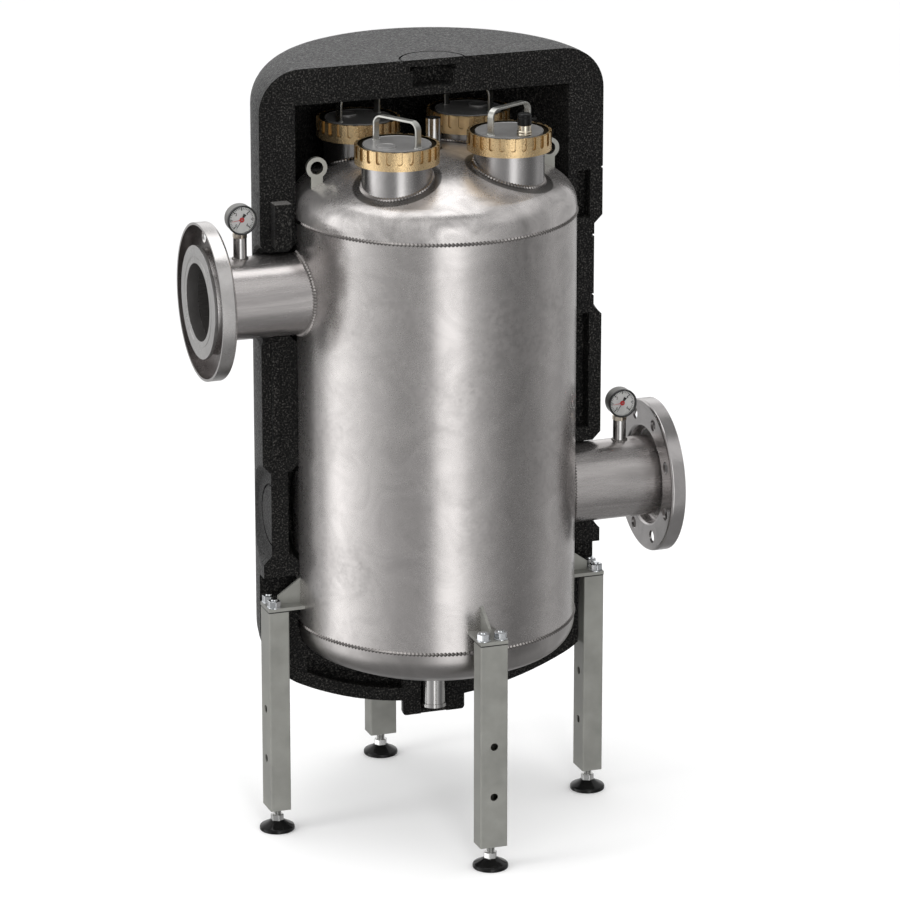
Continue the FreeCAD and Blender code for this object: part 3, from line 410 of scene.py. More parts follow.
def pick(piece, kind, test):
    """In edit mode, selects the points, edges or faces whose middle, and normal or run, pass a test."""
    bpy.ops.mesh.select_mode(type=kind)
    bpy.ops.mesh.select_all(action="DESELECT")
    bpy.ops.object.mode_set(mode="OBJECT")
    mesh = piece.data
    if kind == "VERT":
        for point in mesh.vertices:
            point.select = test(point.co, point.normal)
    elif kind == "EDGE":
        for edge in mesh.edges:
            ends = [mesh.vertices[index].co for index in edge.vertices]
            edge.select = test((ends[0] + ends[1]) / 2, ends[1] - ends[0])
    else:
        for face in mesh.polygons:
            face.select = test(face.center, face.normal)
    bpy.ops.object.mode_set(mode="EDIT")


def set_down(piece, place=(0.0, 0.0, 0.0), turn=(0.0, 0.0, 0.0)):
    """Moves and turns a finished piece to its place and keeps that in its mesh."""
    alone(piece)
    piece.location = place
    piece.rotation_euler = [math.radians(angle) for angle in turn]
    bpy.ops.object.transform_apply(location=True, rotation=True, scale=True)


def carried(piece, body, material, slot, *nodes):
    """Evens a piece's shading and gives it its finish, its body and the CAD nodes that it stands for."""
    if piece.data.polygons[0].use_smooth:
        alone(piece)
        even = piece.modifiers.new("even", "WEIGHTED_NORMAL")
        even.keep_sharp = True
        bpy.ops.object.modifier_apply(modifier=even.name)
    painted(piece, material)
    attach(piece, body)
    if nodes:
        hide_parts(*nodes)


def sealed(threshold):
    """In edit mode, merges the points that meet and turns every face outward."""
    bpy.ops.mesh.select_all(action="SELECT")
    bpy.ops.mesh.remove_doubles(threshold=threshold)
    bpy.ops.mesh.normals_make_consistent(inside=False)


def spun(steps):
    """In edit mode, spins the whole outline once round Z into a closed ring."""
    bpy.ops.mesh.select_all(action="SELECT")
    bpy.ops.mesh.spin(steps=steps, angle=2 * math.pi, center=(0.0, 0.0, 0.0), axis=(0.0, 0.0, 1.0))
    sealed(0.000002)


def bead_ring(name, radius, ripples, thickness, ripple):
    """A ring of an eight-sided bead, whose every other cross-section is raised by the ripple."""
    fresh()
    bpy.ops.mesh.primitive_circle_add(vertices=8, radius=thickness)
    piece = named(name)
    set_down(piece, (radius, 0.0, 0.0), (90.0, 0.0, 0.0))
    in_edit(piece)
    spun(2 * ripples)

    def on_ripple(point, normal):
        turn = math.atan2(point.y, point.x) / (2 * math.pi) * 2 * ripples
        return round(turn) % 2 == 0

    pick(piece, "VERT", on_ripple)
    bpy.ops.transform.shrink_fatten(value=ripple)
    bpy.ops.object.mode_set(mode="OBJECT")
    bpy.ops.object.shade_flat()
    return piece


weld_metal = metal("weld_bead", (0.34, 0.32, 0.31), 0.18, scuffs=0.8, grain=900.0, bump=0.0002)
vessel_radius = 0.2
seam_heights = (0.306, 0.893)
beads = []
for height in seam_heights:
    seam = bead_ring("seam_bead", vessel_radius - 0.0024, ripples=230, thickness=0.0028, ripple=0.0014)
    set_down(seam, (0.0, 0.0, height))
    beads.append(seam)

for side, height in pipe_heights.items():
    saddle = bead_ring("pipe_bead", pipe_radius + 0.0002, ripples=84, thickness=0.002, ripple=0.0018)
    for point in saddle.data.vertices:
        distance = math.hypot(point.co.x, point.co.y)
        across = point.co.y * (vessel_radius - 0.0002) / vessel_radius
        sunk = vessel_radius - math.sqrt(vessel_radius**2 - across**2)
        point.co.z += (vessel_radius + 0.0008 - sunk) + (distance - pipe_radius) * -0.2
    set_down(saddle, (0.0, 0.0, height), (0.0, 90.0 * side, 0.0))
    beads.append(saddle)

crown_radius = 0.4
head_top = 0.9785
knuckle = 0.04
knuckle_height = 0.901
neck_radius = 0.0486


def dish_height(x, y):
    """The top head's height over the floor, on its crown or on its knuckle."""
    knuckle_reach = vessel_radius - knuckle
    reach = min(math.hypot(x, y), vessel_radius - 0.0001)
    if reach * (crown_radius - knuckle) <= crown_radius * knuckle_reach:
        return head_top - crown_radius + math.sqrt(crown_radius**2 - x * x - y * y)
    return knuckle_height + math.sqrt(max(knuckle**2 - (reach - knuckle_reach) ** 2, 0.0))


for x, y in neck_places.values():
    collar = bead_ring("neck_bead", neck_radius, ripples=72, thickness=0.002, ripple=0.0014)
    for point in collar.data.vertices:
        point.co.z += dish_height(point.co.x + x, point.co.y + y) + 0.0006
    set_down(collar, (x, y, 0.0))
    beads.append(collar)
port_bead = bead_ring("centre_bead", 0.0112, ripples=26, thickness=0.0013, ripple=0.0004)
set_down(port_bead, (0.0, 0.0, head_top + 0.0002))
beads.append(port_bead)
gauge_reach = 0.2815
for side in (-1, 1):
    stub_bead = bead_ring("stub_bead", 0.01, ripples=22, thickness=0.0014, ripple=0.0004)
    for point in stub_bead.data.vertices:
        point.co.z += math.sqrt(pipe_radius**2 - min(abs(point.co.y), pipe_radius) ** 2) + 0.0002
    set_down(stub_bead, (side * gauge_reach, 0.0, pipe_heights[side]))
    beads.append(stub_bead)


def joined(name, pieces):
    """One piece made of several, or the only one under a new name."""
    alone(pieces[0])
    for piece in pieces:
        piece.select_set(True)
    if len(pieces) > 1:
        bpy.ops.object.join()
    return named(name)


welds = joined("weld_beads_rippled", beads)
carried(welds, "vessel", weld_metal, "weld_steel", "weld_beads")


# ---- Pipe ends: a lapped collar is welded on each pipe, with a flat gasket face, a turned groove and a
# bore painted dark as painted shade. A loose flange pressed from sheet sits behind it, open to the front,
# with eight bolt holes, and its inner dish is painted darker as painted shade.
def turned(name, profile, steps):
    """A closed outline of (radius, height) corners, drawn corner by corner and spun round Z."""
    fresh()
    bpy.ops.mesh.primitive_plane_add(size=0.001)
    piece = named(name)
    in_edit(piece)
    bpy.ops.mesh.select_mode(type="VERT")
    bpy.ops.mesh.select_all(action="SELECT")
    bpy.ops.mesh.merge(type="CENTER")
    bpy.ops.transform.translate(value=(profile[0][0], 0.0, profile[0][1]))
    for before, after in zip(profile, profile[1:] + profile[:1]):
        step = (after[0] - before[0], 0.0, after[1] - before[1])
        bpy.ops.mesh.extrude_region_move(TRANSFORM_OT_translate={"value": step})
    bpy.ops.mesh.select_all(action="SELECT")
    bpy.ops.mesh.remove_doubles(threshold=0.000001)
    spun(steps)
    bpy.ops.object.mode_set(mode="OBJECT")
    return piece


def softened(piece, width, angle, segments=2):
    """Rounds the sharp edges of a piece and smooths its shading."""
    alone(piece)
    rounding = piece.modifiers.new("rounding", "BEVEL")
    rounding.width = width
    rounding.segments = segments
    rounding.limit_method = "ANGLE"
    rounding.angle_limit = math.radians(angle)
    bpy.ops.object.modifier_apply(modifier=rounding.name)
    bpy.ops.object.shade_smooth_by_angle(angle=math.radians(40.0))


def carved(piece, cutter):
    """Cuts one piece out of another and removes the cutter."""
    alone(piece)
    cut = piece.modifiers.new("cut", "BOOLEAN")
    cut.operation = "DIFFERENCE"
    cut.solver = "EXACT"
    cut.object = cutter
    bpy.ops.object.modifier_apply(modifier=cut.name)
    bpy.data.objects.remove(cutter)


def copied(piece, name):
    """A copy with its own mesh."""
    copy = bpy.data.objects.new(name, piece.data.copy())
    copy.data.name = name
    bpy.context.scene.collection.objects.link(copy)
    return copy


def refinished(piece, material, test):
    """Gives the faces that pass a test another finish, in a material slot of its own."""
    piece.data.materials.append(material)
    in_edit(piece)
    pick(piece, "FACE", test)
    piece.active_material_index = len(piece.data.materials) - 1
    bpy.ops.object.material_slot_assign()
    bpy.ops.object.mode_set(mode="OBJECT")


collar_metal = metal(
    "collar_face", (0.58, 0.57, 0.56), 0.3, scuffs=0.2, grain=700.0, bump=0.00003, metallic=0.9
)
# Painted shade: a dark finish for the inside of each collar's bore.
bore_metal = metal("collar_bore", (0.12, 0.115, 0.112), 0.4, grain=700.0, bump=0.00003, metallic=0.5)
inlet_metal = metal("inlet_flange_steel", (0.66, 0.64, 0.63), 0.27, scuffs=0.25, grain=700.0, bump=0.00003)
outlet_metal = metal(
    "outlet_flange_steel", (0.54, 0.52, 0.515), 0.22, scuffs=0.4, grain=700.0, bump=0.00003
)
# Painted shade: the flange's inner dish is painted darker inside the pressed ring.
dish_metal = metal("flange_dish", (0.27, 0.25, 0.245), 0.3, scuffs=0.3, grain=700.0, bump=0.00003)
collar_foot = 0.326
flange_foot = 0.3192
hole_circle = 0.09
holes = 8
lip_bore = 0.1065
collar = turned(
    "pipe_collar",
    [
        (pipe_bore, 0.0), (pipe_radius, 0.0), (pipe_radius, 0.005), (0.05792, 0.00825), (0.0602, 0.01095),
        (0.06415, 0.012), (0.079, 0.012), (0.079, 0.017), (0.0636, 0.017), (0.0636, 0.0162),
        (0.062, 0.0162), (0.062, 0.017), (pipe_bore, 0.017),
    ],
    96,
)
softened(collar, 0.0004, angle=50.0)
ends = [copied(collar, "collar_inlet"), copied(collar, "collar_outlet")]
bpy.data.objects.remove(collar)
for end, side in zip(ends, (-1, 1)):
    set_down(end, (side * collar_foot, 0.0, pipe_heights[side]), (0.0, 90.0 * side, 0.0))
collars = joined("lapped_collars", ends)
carried(collars, "vessel", collar_metal, "flange_steel", "pipe_collars")


def in_collar_bore(middle, normal):
    rise = middle.z - pipe_heights[-1 if middle.x < 0.0 else 1]
    return math.hypot(middle.y, rise) < pipe_bore + 0.00035 and abs(normal.x) < 0.3


refinished(collars, bore_metal, in_collar_bore)

flange = turned(
    "flange",
    [
        (0.11, 0.021), (0.11, 0.0), (0.071, 0.0), (0.0675, 0.015), (0.0655, 0.015),
        (0.0655, 0.0185), (0.071, 0.0185), (0.0745, 0.0035), (lip_bore, 0.0035), (lip_bore, 0.021),
    ],
    160,
)
in_edit(flange)
pick(flange, "EDGE", lambda middle, run: abs(middle.z) < 1e-5 and math.hypot(middle.x, middle.y) > 0.1)
bpy.ops.mesh.bevel(offset=0.004, segments=5, profile=0.5)
pick(flange, "EDGE", lambda middle, run: abs(middle.z) < 1e-5 and math.hypot(middle.x, middle.y) < 0.073)
bpy.ops.mesh.bevel(offset=0.004, segments=4, profile=0.5)
bpy.ops.object.mode_set(mode="OBJECT")
drills = []
for index in range(holes):
    turn = 2 * math.pi * (index + 0.5) / holes
    fresh()
    bpy.ops.mesh.primitive_cylinder_add(
        vertices=32, radius=0.009, depth=0.03,
        location=(hole_circle * math.cos(turn), hole_circle * math.sin(turn), 0.0),
    )
    drills.append(named("drill"))
carved(flange, joined("drills", drills))
softened(flange, 0.0006, angle=38.0)
for name, side, steel in (("inlet_flange", -1, inlet_metal), ("outlet_flange", 1, outlet_metal)):
    ring = copied(flange, name + "_pressed")
    set_down(ring, (side * flange_foot, 0.0, pipe_heights[side]), (0.0, 90.0 * side, 0.0))
    carried(ring, name, steel, "flange_steel", name)

    def in_dish(middle, normal):
        rise = middle.z - pipe_heights[side]
        reach = math.hypot(middle.y, rise)
        inward = -(normal.y * middle.y + normal.z * rise) / reach
        return (normal.x * side > 0.5 and reach < lip_bore - 0.001) or (inward > 0.5 and reach > 0.1)

    refinished(ring, dish_metal, in_dish)
bpy.data.objects.remove(flange)


# ---- Gauges: one on each pipe, a round dark grey case on a brass union, with a pale dial, a tapered black
# pointer, a red marker with its hub in front, and a glass held by a black bezel.
def hex_nut(name, flats, height, place, soft):
    """A hexagon with rounded upper and lower corners, standing on its place."""
    fresh()
    bpy.ops.mesh.primitive_cylinder_add(vertices=6, radius=flats / math.sqrt(3), depth=height)
    piece = named(name)
    set_down(piece, (0.0, 0.0, height / 2))

    def is_end(middle, normal):
        return abs(normal.z) > 0.9

    def is_end_middle(middle, normal):
        return is_end(middle, normal) and math.hypot(middle.x, middle.y) < flats / 20

    in_edit(piece)
    pick(piece, "EDGE", lambda middle, run: abs(run.z) > height / 2)
    bpy.ops.mesh.bevel(offset=soft, segments=2)
    pick(piece, "FACE", is_end)
    bpy.ops.mesh.inset(thickness=soft * 1.6)
    pick(piece, "FACE", is_end_middle)
    bpy.ops.transform.resize(value=(1.0, 1.0, 1.0 + 1.4 * soft / height))
    bpy.ops.object.mode_set(mode="OBJECT")
    set_down(piece, place)
    softened(piece, soft / 6, angle=20.0, segments=1)
    return piece


def plain_paint(name, colour, roughness, grain=400.0, bump=0.00002, spread=0.08, metallic=0.0):
    """A moulded or painted finish: an even colour with a faint skin and an uneven gloss."""
    material, tree, shader = material_named(name, colour, roughness, metallic)
    place = tree.nodes.new("ShaderNodeTexCoord").outputs["Object"]
    skin = noise(tree, place, grain, 3.0)
    cloud = noise(tree, place, 30.0, 3.0)
    gloss = ranged(tree, cloud, 0.3, 0.7, roughness - spread, roughness + spread)
    tree.links.new(gloss, shader.inputs["Roughness"])
    light = tuple(min(1.0, 1.12 * part + 0.002) for part in colour)
    dark = tuple(0.88 * part for part in colour)
    tree.links.new(blended(tree, ranged(tree, cloud, 0.3, 0.7), dark, light), shader.inputs["Base Color"])
    bump_node = tree.nodes.new("ShaderNodeBump")
    bump_node.inputs["Distance"].default_value = bump
    tree.links.new(skin, bump_node.inputs["Height"])
    tree.links.new(bump_node.outputs["Normal"], shader.inputs["Normal"])
    return material


gauge_black = plain_paint("gauge_black", (0.018, 0.018, 0.018), 0.22)
gauge_grey = plain_paint("gauge_case_grey", (0.16, 0.158, 0.15), 0.35, metallic=0.3)
gauge_brass = metal("gauge_brass", (0.8, 0.72, 0.6), 0.16, scuffs=0.1, grain=900.0, bump=0.00001)
dial_white = plain_paint("dial_white", (0.46, 0.46, 0.45), 0.6)
ink = plain_paint("dial_ink", (0.01, 0.01, 0.01), 0.6)
pointer_black = plain_paint("pointer_black", (0.006, 0.006, 0.006), 0.6)
pointer_red = plain_paint("pointer_red", (0.4, 0.006, 0.006), 0.4)
glass, tree, shader = material_named("gauge_glass", (1.0, 1.0, 1.0), 0.04)
shader.inputs["Transmission Weight"].default_value = 1.0
shader.inputs["IOR"].default_value = 1.1

gauge_rise = 0.114
boss_drop = 0.0211
union_drop = 0.0271
dial_front = 0.00083
dial_start = 225.0
mark_reach = 0.0172
digit_reach = 0.0112
case = turned(
    "gauge_case",
    [
        (0.0, 0.0), (0.0162, 0.0), (0.0194, 0.0012), (0.0202, 0.004), (0.0202, 0.019),
        (0.0187, 0.019), (0.0187, 0.0015), (0.0, 0.0015),
    ],
    64,
)
softened(case, 0.0004, angle=30.0)
bezel = turned(
    "gauge_bezel",
    [
        (0.021, 0.0), (0.021, 0.0034), (0.0204, 0.004), (0.0191, 0.004), (0.0184, 0.0032),
        (0.0184, 0.0004), (0.0199, 0.0),
    ],
    64,
)
softened(bezel, 0.0002, angle=30.0)
boss = turned(
    "gauge_boss",
    [(0.0, 0.0), (0.0062, 0.0), (0.007, 0.0008), (0.007, 0.0032), (0.0055, 0.0036), (0.0, 0.0036)],
    32,
)
pin = turned("gauge_pin", [(0.0, 0.0), (0.0008, 0.0), (0.0008, 0.0166), (0.0006, 0.0168), (0.0, 0.0168)], 16)
dial = turned("gauge_dial", [(0.0008, 0.0), (0.0187, 0.0), (0.0187, 0.0008), (0.0008, 0.0008)], 64)
marks = []
for index in range(31):
    turn = math.radians(dial_start - 9.0 * index)
    longer = index % 5 == 0
    length = 0.004 if longer else 0.0024
    reach = mark_reach - length / 2
    fresh()
    bpy.ops.mesh.primitive_cube_add(size=1.0)
    mark = named("dial_mark")
    mark.scale = (length, 0.0015 if longer else 0.0008, 0.00006)
    mark.rotation_euler.z = turn
    mark.location = (reach * math.cos(turn), reach * math.sin(turn), dial_front)
    bpy.ops.object.transform_apply(location=True, rotation=True, scale=True)
    marks.append(mark)
for number in range(0, 7, 2):
    turn = math.radians(dial_start - 45.0 * number)
    fresh()
    bpy.ops.object.text_add()
    digit = bpy.context.object
    digit.data.body = str(number)
    digit.data.size = 0.0056
    digit.data.offset = 0.00012
    digit.data.align_x = "CENTER"
    digit.data.align_y = "CENTER"
    digit.data.extrude = 0.00003
    bpy.ops.object.convert(target="MESH")
    set_down(digit, (digit_reach * math.cos(turn), digit_reach * math.sin(turn), dial_front))
    marks.append(digit)
print_on = joined("dial_print", marks)

parts = {"case": [], "bezel": [], "dial": [], "print": [], "union": []}
for side in (-1, 1):
    height = pipe_heights[side] + gauge_rise
    for name, model, depth in (
        ("case", case, 0.009), ("case", pin, 0.0035), ("bezel", bezel, -0.01), ("dial", dial, -0.0092),
        ("print", print_on, -0.0092),
    ):
        piece = copied(model, name)
        set_down(piece, (side * gauge_reach, depth, height), (90.0, 0.0, 0.0))
        parts[name].append(piece)
    foot = copied(boss, "boss")
    set_down(foot, (side * gauge_reach, 0.0, height - boss_drop))
    parts["case"].append(foot)
    union_place = (side * gauge_reach, 0.0, height - union_drop)
    parts["union"].append(hex_nut("union", flats=0.018, height=0.006, place=union_place, soft=0.0008))
for model in (case, bezel, dial, boss, pin, print_on):
    bpy.data.objects.remove(model)
carried(joined("gauge_cases_turned", parts["case"]), "vessel", gauge_grey, "gauge_black", "gauge_cases")
carried(joined("gauge_bezels_turned", parts["bezel"]), "vessel", gauge_black, "gauge_black", "gauge_bezels")
carried(joined("gauge_dials_turned", parts["dial"]), "vessel", dial_white, "dial_white", "gauge_dials")
carried(joined("dial_marks", parts["print"]), "vessel", ink, "pointer_black")
carried(joined("gauge_unions_turned", parts["union"]), "vessel", gauge_brass, "gauge_brass", "gauge_unions")
dressed(glass, "gauge_lenses")
dressed(pointer_black, "pointer_inlet", "pointer_outlet")
dressed(pointer_red, "set_pointer_inlet", "set_pointer_outlet")


# ---- Lids: a stepped steel disc with a thin raised edge on each neck, a plain round badge on three of
# them, a flat rubber gasket under it and a handle of flat strap, bent into a U and welded on.
lid_metal = metal(
    "lid_face", (0.33, 0.325, 0.32), 0.22, scuffs=0.15, grain=700.0, bump=0.00003, metallic=0.4
)
handle_metal = metal("handle_strap", (0.52, 0.52, 0.49), 0.3, scuffs=0.2, grain=800.0, bump=0.00003)
rubber = plain_paint("gasket_rubber", (0.02, 0.02, 0.02), 0.6)
dressed(rubber, "lid_gaskets")
lid_face_height = 1.0115
lid_rises = {"front_left": 0.0, "front_right": 0.0055, "rear_left": 0.0, "rear_right": 0.0}
handle_turns = {"front_left": -60.0, "front_right": 28.0, "rear_left": 27.0, "rear_right": -55.0}
badge_turns = {"front_left": -150.0, "rear_left": 117.0, "rear_right": 35.0}
badge_reach = 0.0225
recess = 0.0006
lid = turned(
    "lid",
    [
        (0.0, -0.016), (0.044, -0.016), (0.044, -0.01), (0.0514, -0.01), (0.0514, -0.0056),
        (0.0472, -0.0056), (0.0472, 0.0), (0.0458, 0.0), (0.0452, -recess), (0.0, -recess),
    ],
    128,
)
softened(lid, 0.0004, angle=30.0)
badge = turned(
    "badge",
    [(0.0, -0.001), (0.0135, -0.001), (0.0135, 0.0012), (0.0124, 0.0014), (0.0116, 0.0008), (0.0, 0.0008)],
    64,
)
softened(badge, 0.0002, angle=25.0)

half_span = 0.0395
strap = 0.0032
strap_width = 0.0105
bend = 0.013
rise = 0.036
straight = rise - bend
fresh()
bpy.ops.mesh.primitive_plane_add(size=1.0)
handle = named("handle")
handle.scale = (strap, strap_width, 1.0)
handle.location = (-half_span + strap / 2, 0.0, -recess)
bpy.ops.object.transform_apply(location=True, rotation=True, scale=True)
in_edit(handle)
bpy.ops.mesh.select_all(action="SELECT")
for step, bend_middle in (
    ((0.0, 0.0, straight + recess), (bend - half_span, 0.0, straight)),
    ((2 * (half_span - bend), 0.0, 0.0), (half_span - bend, 0.0, straight)),
):
    bpy.ops.mesh.extrude_region_move(TRANSFORM_OT_translate={"value": step})
    bpy.ops.mesh.spin(steps=10, angle=-math.pi / 2, center=bend_middle, axis=(0.0, 1.0, 0.0))
bpy.ops.mesh.extrude_region_move(TRANSFORM_OT_translate={"value": (0.0, 0.0, -straight - recess)})
sealed(0.000001)
bpy.ops.object.mode_set(mode="OBJECT")
softened(handle, 0.0008, angle=50.0, segments=3)
foot_weld = bead_ring("foot_weld", 0.0058, ripples=20, thickness=0.0011, ripple=0.0003)
foot_weld.scale = (0.55, 1.0, 1.0)
bpy.ops.object.transform_apply(location=False, rotation=False, scale=True)

for name, (x, y) in neck_places.items():
    body = "lid_and_rod_" + name
    face = lid_face_height + lid_rises[name]
    discs = [copied(lid, "disc")]
    if name in badge_turns:
        turn = math.radians(badge_turns[name])
        token = copied(badge, "token")
        set_down(token, (badge_reach * math.cos(turn), badge_reach * math.sin(turn), 0.0))
        discs.append(token)
    disc = joined("lid_disc_" + name, discs)
    set_down(disc, (x, y, face))
    carried(disc, body, lid_metal, "lid_steel", "lid_" + name)
    pieces = [copied(handle, "strap")]
    for side in (-1, 1):
        weld = copied(foot_weld, "weld")
        set_down(weld, (side * (half_span - strap / 2), 0.0, -0.0004))
        pieces.append(weld)
    grip = joined("handle_strap_" + name, pieces)
    set_down(grip, (x, y, face), (0.0, 0.0, handle_turns[name]))
    carried(grip, body, handle_metal, "handle_steel", "handle_" + name)
for model in (lid, badge, handle, foot_weld):
    bpy.data.objects.remove(model)


# ---- Ring nuts: cast brass rings, turned inside and left as cast outside, with 24 U slots that run down
# from the top edge for a hook spanner. The bore and the slots' walls are painted darker, as painted shade.
brass = metal(
    "cast_brass", (0.8, 0.585, 0.32), 0.27, scuffs=0.4, spread=0.1, grain=520.0, bump=0.0005, metallic=0.9
)
# Painted shade: darker brass finishes for the slots' walls and for the nut's bore.
brass_edge = metal("brass_slot_edge", (0.26, 0.17, 0.075), 0.35, grain=520.0, bump=0.0003)
brass_bore = metal("brass_bore", (0.05, 0.038, 0.022), 0.4, grain=300.0, bump=0.0002)
nut_foot = 0.9857
nut_radius = 0.0584
nut_bore = 0.0542
nut_floor = 0.0234
nut = turned(
    "ring_nut",
    [
        (0.0509, 0.0), (nut_radius, 0.0), (nut_radius, 0.026), (nut_bore, 0.026), (nut_bore, nut_floor),
        (0.0477, nut_floor), (0.0477, 0.0204), (0.0519, 0.0204), (0.0519, 0.0133), (0.0509, 0.0133),
    ],
    192,
)
slots = 24
slot_half = 0.0037
slot_depth = 0.003
slot_foot = 0.0122
cutter_depth = 0.01
cutters = []
for index in range(slots):
    fresh()
    bpy.ops.mesh.primitive_cylinder_add(vertices=24, radius=slot_half, depth=cutter_depth)
    cutter = named("slot_cutter")
    in_edit(cutter)
    pick(cutter, "VERT", lambda point, normal: point.x > 0.0001)
    bpy.ops.transform.translate(value=(0.03, 0.0, 0.0))
    bpy.ops.object.mode_set(mode="OBJECT")
    set_down(cutter, (nut_radius - slot_depth + cutter_depth / 2, 0.0, slot_foot), (0.0, -90.0, 0.0))
    set_down(cutter, turn=(0.0, 0.0, 360.0 / slots * index))
    cutters.append(cutter)
carved(nut, joined("slot_cutters", cutters))
softened(nut, 0.0009, angle=40.0, segments=3)
for name, (x, y) in neck_places.items():
    foot = nut_foot + lid_rises[name]
    ring = copied(nut, "ring_nut_cast_" + name)
    set_down(ring, (x, y, foot))
    carried(ring, "ring_nut_" + name, brass, "nut_brass", "ring_nut_" + name)

    def in_bore(middle, normal):
        inward = normal.x * (middle.x - x) + normal.y * (middle.y - y) < 0.0
        reach = math.hypot(middle.x - x, middle.y - y)
        return reach < nut_bore + 0.0003 and (inward or middle.z - foot < nut_floor + 0.0004)

    def on_slot_wall(middle, normal):
        reach = math.hypot(middle.x - x, middle.y - y)
        facing = abs(normal.x * (middle.x - x) + normal.y * (middle.y - y)) / reach
        in_slot = 0.0004 < nut_radius - reach < 0.0042 and 0.004 < middle.z - foot < 0.0245
        return in_slot and facing < 0.75

    refinished(ring, brass_bore, in_bore)
    refinished(ring, brass_edge, on_slot_wall)
bpy.data.objects.remove(nut)


# ---- Air vent on the front right lid: a nickelled brass body with a grooved foot, and a black moulded
# cap with a small side nozzle that turns on it.
nickel = metal("vent_nickel", (0.82, 0.74, 0.6), 0.2, scuffs=0.1, grain=900.0, bump=0.00002)
vent_black = plain_paint("vent_black", (0.003, 0.003, 0.003), 0.22)
vent_black.node_tree.nodes["Principled BSDF"].inputs["Specular IOR Level"].default_value = 0.2
vent_place = (0.0908, -0.1169674)
vent_foot = 1.017
cap_foot = 0.0103
nozzle_height = 0.011
vent = turned(
    "vent_body_turned",
    [
        (0.0, 0.0), (0.0104, 0.0), (0.0104, 0.0022), (0.0096, 0.0028), (0.0096, 0.0036), (0.0104, 0.0042),
        (0.0104, 0.0062), (0.0094, 0.0068), (0.0094, 0.0142), (0.0098, 0.0146), (0.004, 0.0146),
        (0.004, 0.022), (0.0, 0.022),
    ],
    48,
)
softened(vent, 0.0003, angle=30.0)
set_down(vent, vent_place + (vent_foot,))
carried(vent, "lid_and_rod_front_right", nickel, "vent_nickel", "vent_body")
cap = turned(
    "vent_cap_moulded",
    [
        (0.0046, 0.0046), (0.0096, 0.0046), (0.01, 0.0052), (0.01, 0.0142), (0.0094, 0.0147),
        (0.0094, 0.0155), (0.0098, 0.016), (0.0096, 0.0185), (0.0082, 0.0202), (0.005, 0.0205),
        (0.0, 0.0205), (0.0, 0.012), (0.0046, 0.012),
    ],
    48,
)
softened(cap, 0.0003, angle=30.0)
nozzle = turned(
    "nozzle",
    [
        (0.0, 0.008), (0.0016, 0.008), (0.0016, 0.0162), (0.0013, 0.017), (0.0007, 0.017), (0.0007, 0.014),
        (0.0, 0.014),
    ],
    20,
)
set_down(nozzle, (0.0, 0.0, nozzle_height), (0.0, 90.0, 0.0))
cap = joined("vent_cap_moulded", [cap, nozzle])
set_down(cap, vent_place + (vent_foot + cap_foot,))
carried(cap, "vent_cap", vent_black, "vent_plastic", "vent_cap")


# ---- Supports: bracket plates with an upright gusset welded to the barrel, legs of rectangular tube in
# a satin grey-green finish with a painted shadow line at the top, under the plate, two zinc bolts on each,
# and levelling feet on threaded spindles.
leg_paint = plain_paint("leg_satin", (0.25, 0.25, 0.23), 0.38, grain=600.0, bump=0.00003, metallic=0.35)
zinc = metal("bright_zinc", (0.74, 0.76, 0.78), 0.2, scuffs=0.2, grain=900.0, bump=0.00002)
foot_black = plain_paint("foot_black", (0.006, 0.006, 0.006), 0.14, spread=0.03)
foot_black.node_tree.nodes["Principled BSDF"].inputs["Specular IOR Level"].default_value = 0.25
spindle_metal = metal("spindle_zinc", (0.7, 0.7, 0.69), 0.22, scuffs=0.2, grain=900.0, bump=0.00002)
leg_circle = 0.237
bolt_circle = 0.242
leg_top = 0.3335
plate_top = 0.3385
tree = leg_paint.node_tree
apart = tree.nodes.new("ShaderNodeSeparateXYZ")
tree.links.new(tree.nodes.new("ShaderNodeTexCoord").outputs["Object"], apart.inputs["Vector"])
level = apart.outputs["Z"]
# Painted shadow: a thin near-black band round the top of each leg, under the bracket plate.
joint_line = maths(tree, "GREATER_THAN", level, leg_top - 0.0015)
joint_line = maths(tree, "MULTIPLY", joint_line, maths(tree, "LESS_THAN", level, leg_top + 0.0001))
tinted(leg_paint, joint_line, (0.01, 0.01, 0.01))
dressed(leg_paint, "leg_brackets", "legs")

leg_angles = {"left": 180.0, "front": -90.0, "right": 0.0, "rear": 90.0}


def ridged(radius, low, high, pitch, depth):
    """The outline of a threaded stretch, as ridges from its foot to its top."""
    count = int((high - low) / pitch)
    corners = []
    for index in range(count):
        foot = low + index * pitch
        corners += [(radius - depth, foot), (radius, foot + pitch / 2)]
    return corners + [(radius - depth, high)]


stud = turned("stud", [(0.0, 0.0)] + ridged(0.005, 0.0, 0.0175, 0.0015, 0.0006) + [(0.0, 0.018)], 24)
bpy.ops.object.shade_smooth_by_angle(angle=math.radians(40.0))
washer = turned(
    "washer",
    [(0.0052, 0.0), (0.0098, 0.0), (0.01, 0.0002), (0.01, 0.0017), (0.0097, 0.002), (0.0052, 0.002)],
    40,
)
bolt_nut = hex_nut("bolt_nut", flats=0.017, height=0.008, place=(0.0, 0.0, 0.002), soft=0.001)
collar = turned("nut_collar", [(0.0, 0.0), (0.0083, 0.0), (0.0083, 0.001), (0.0, 0.001)], 40)
set_down(collar, (0.0, 0.0, 0.0018))
set_down(stud, (0.0, 0.0, -0.005))
bolt = joined("bolt", [bolt_nut, stud, washer, collar])
bolts = []
for angle in leg_angles.values():
    for offset in (-0.0125, 0.0125):
        piece = copied(bolt, "bolt")
        set_down(piece, (bolt_circle, offset, plate_top))
        set_down(piece, turn=(0.0, 0.0, angle))
        bolts.append(piece)
bpy.data.objects.remove(bolt)
carried(joined("leg_bolts_zinc", bolts), "vessel", zinc, "bolt_zinc", "leg_bolts")

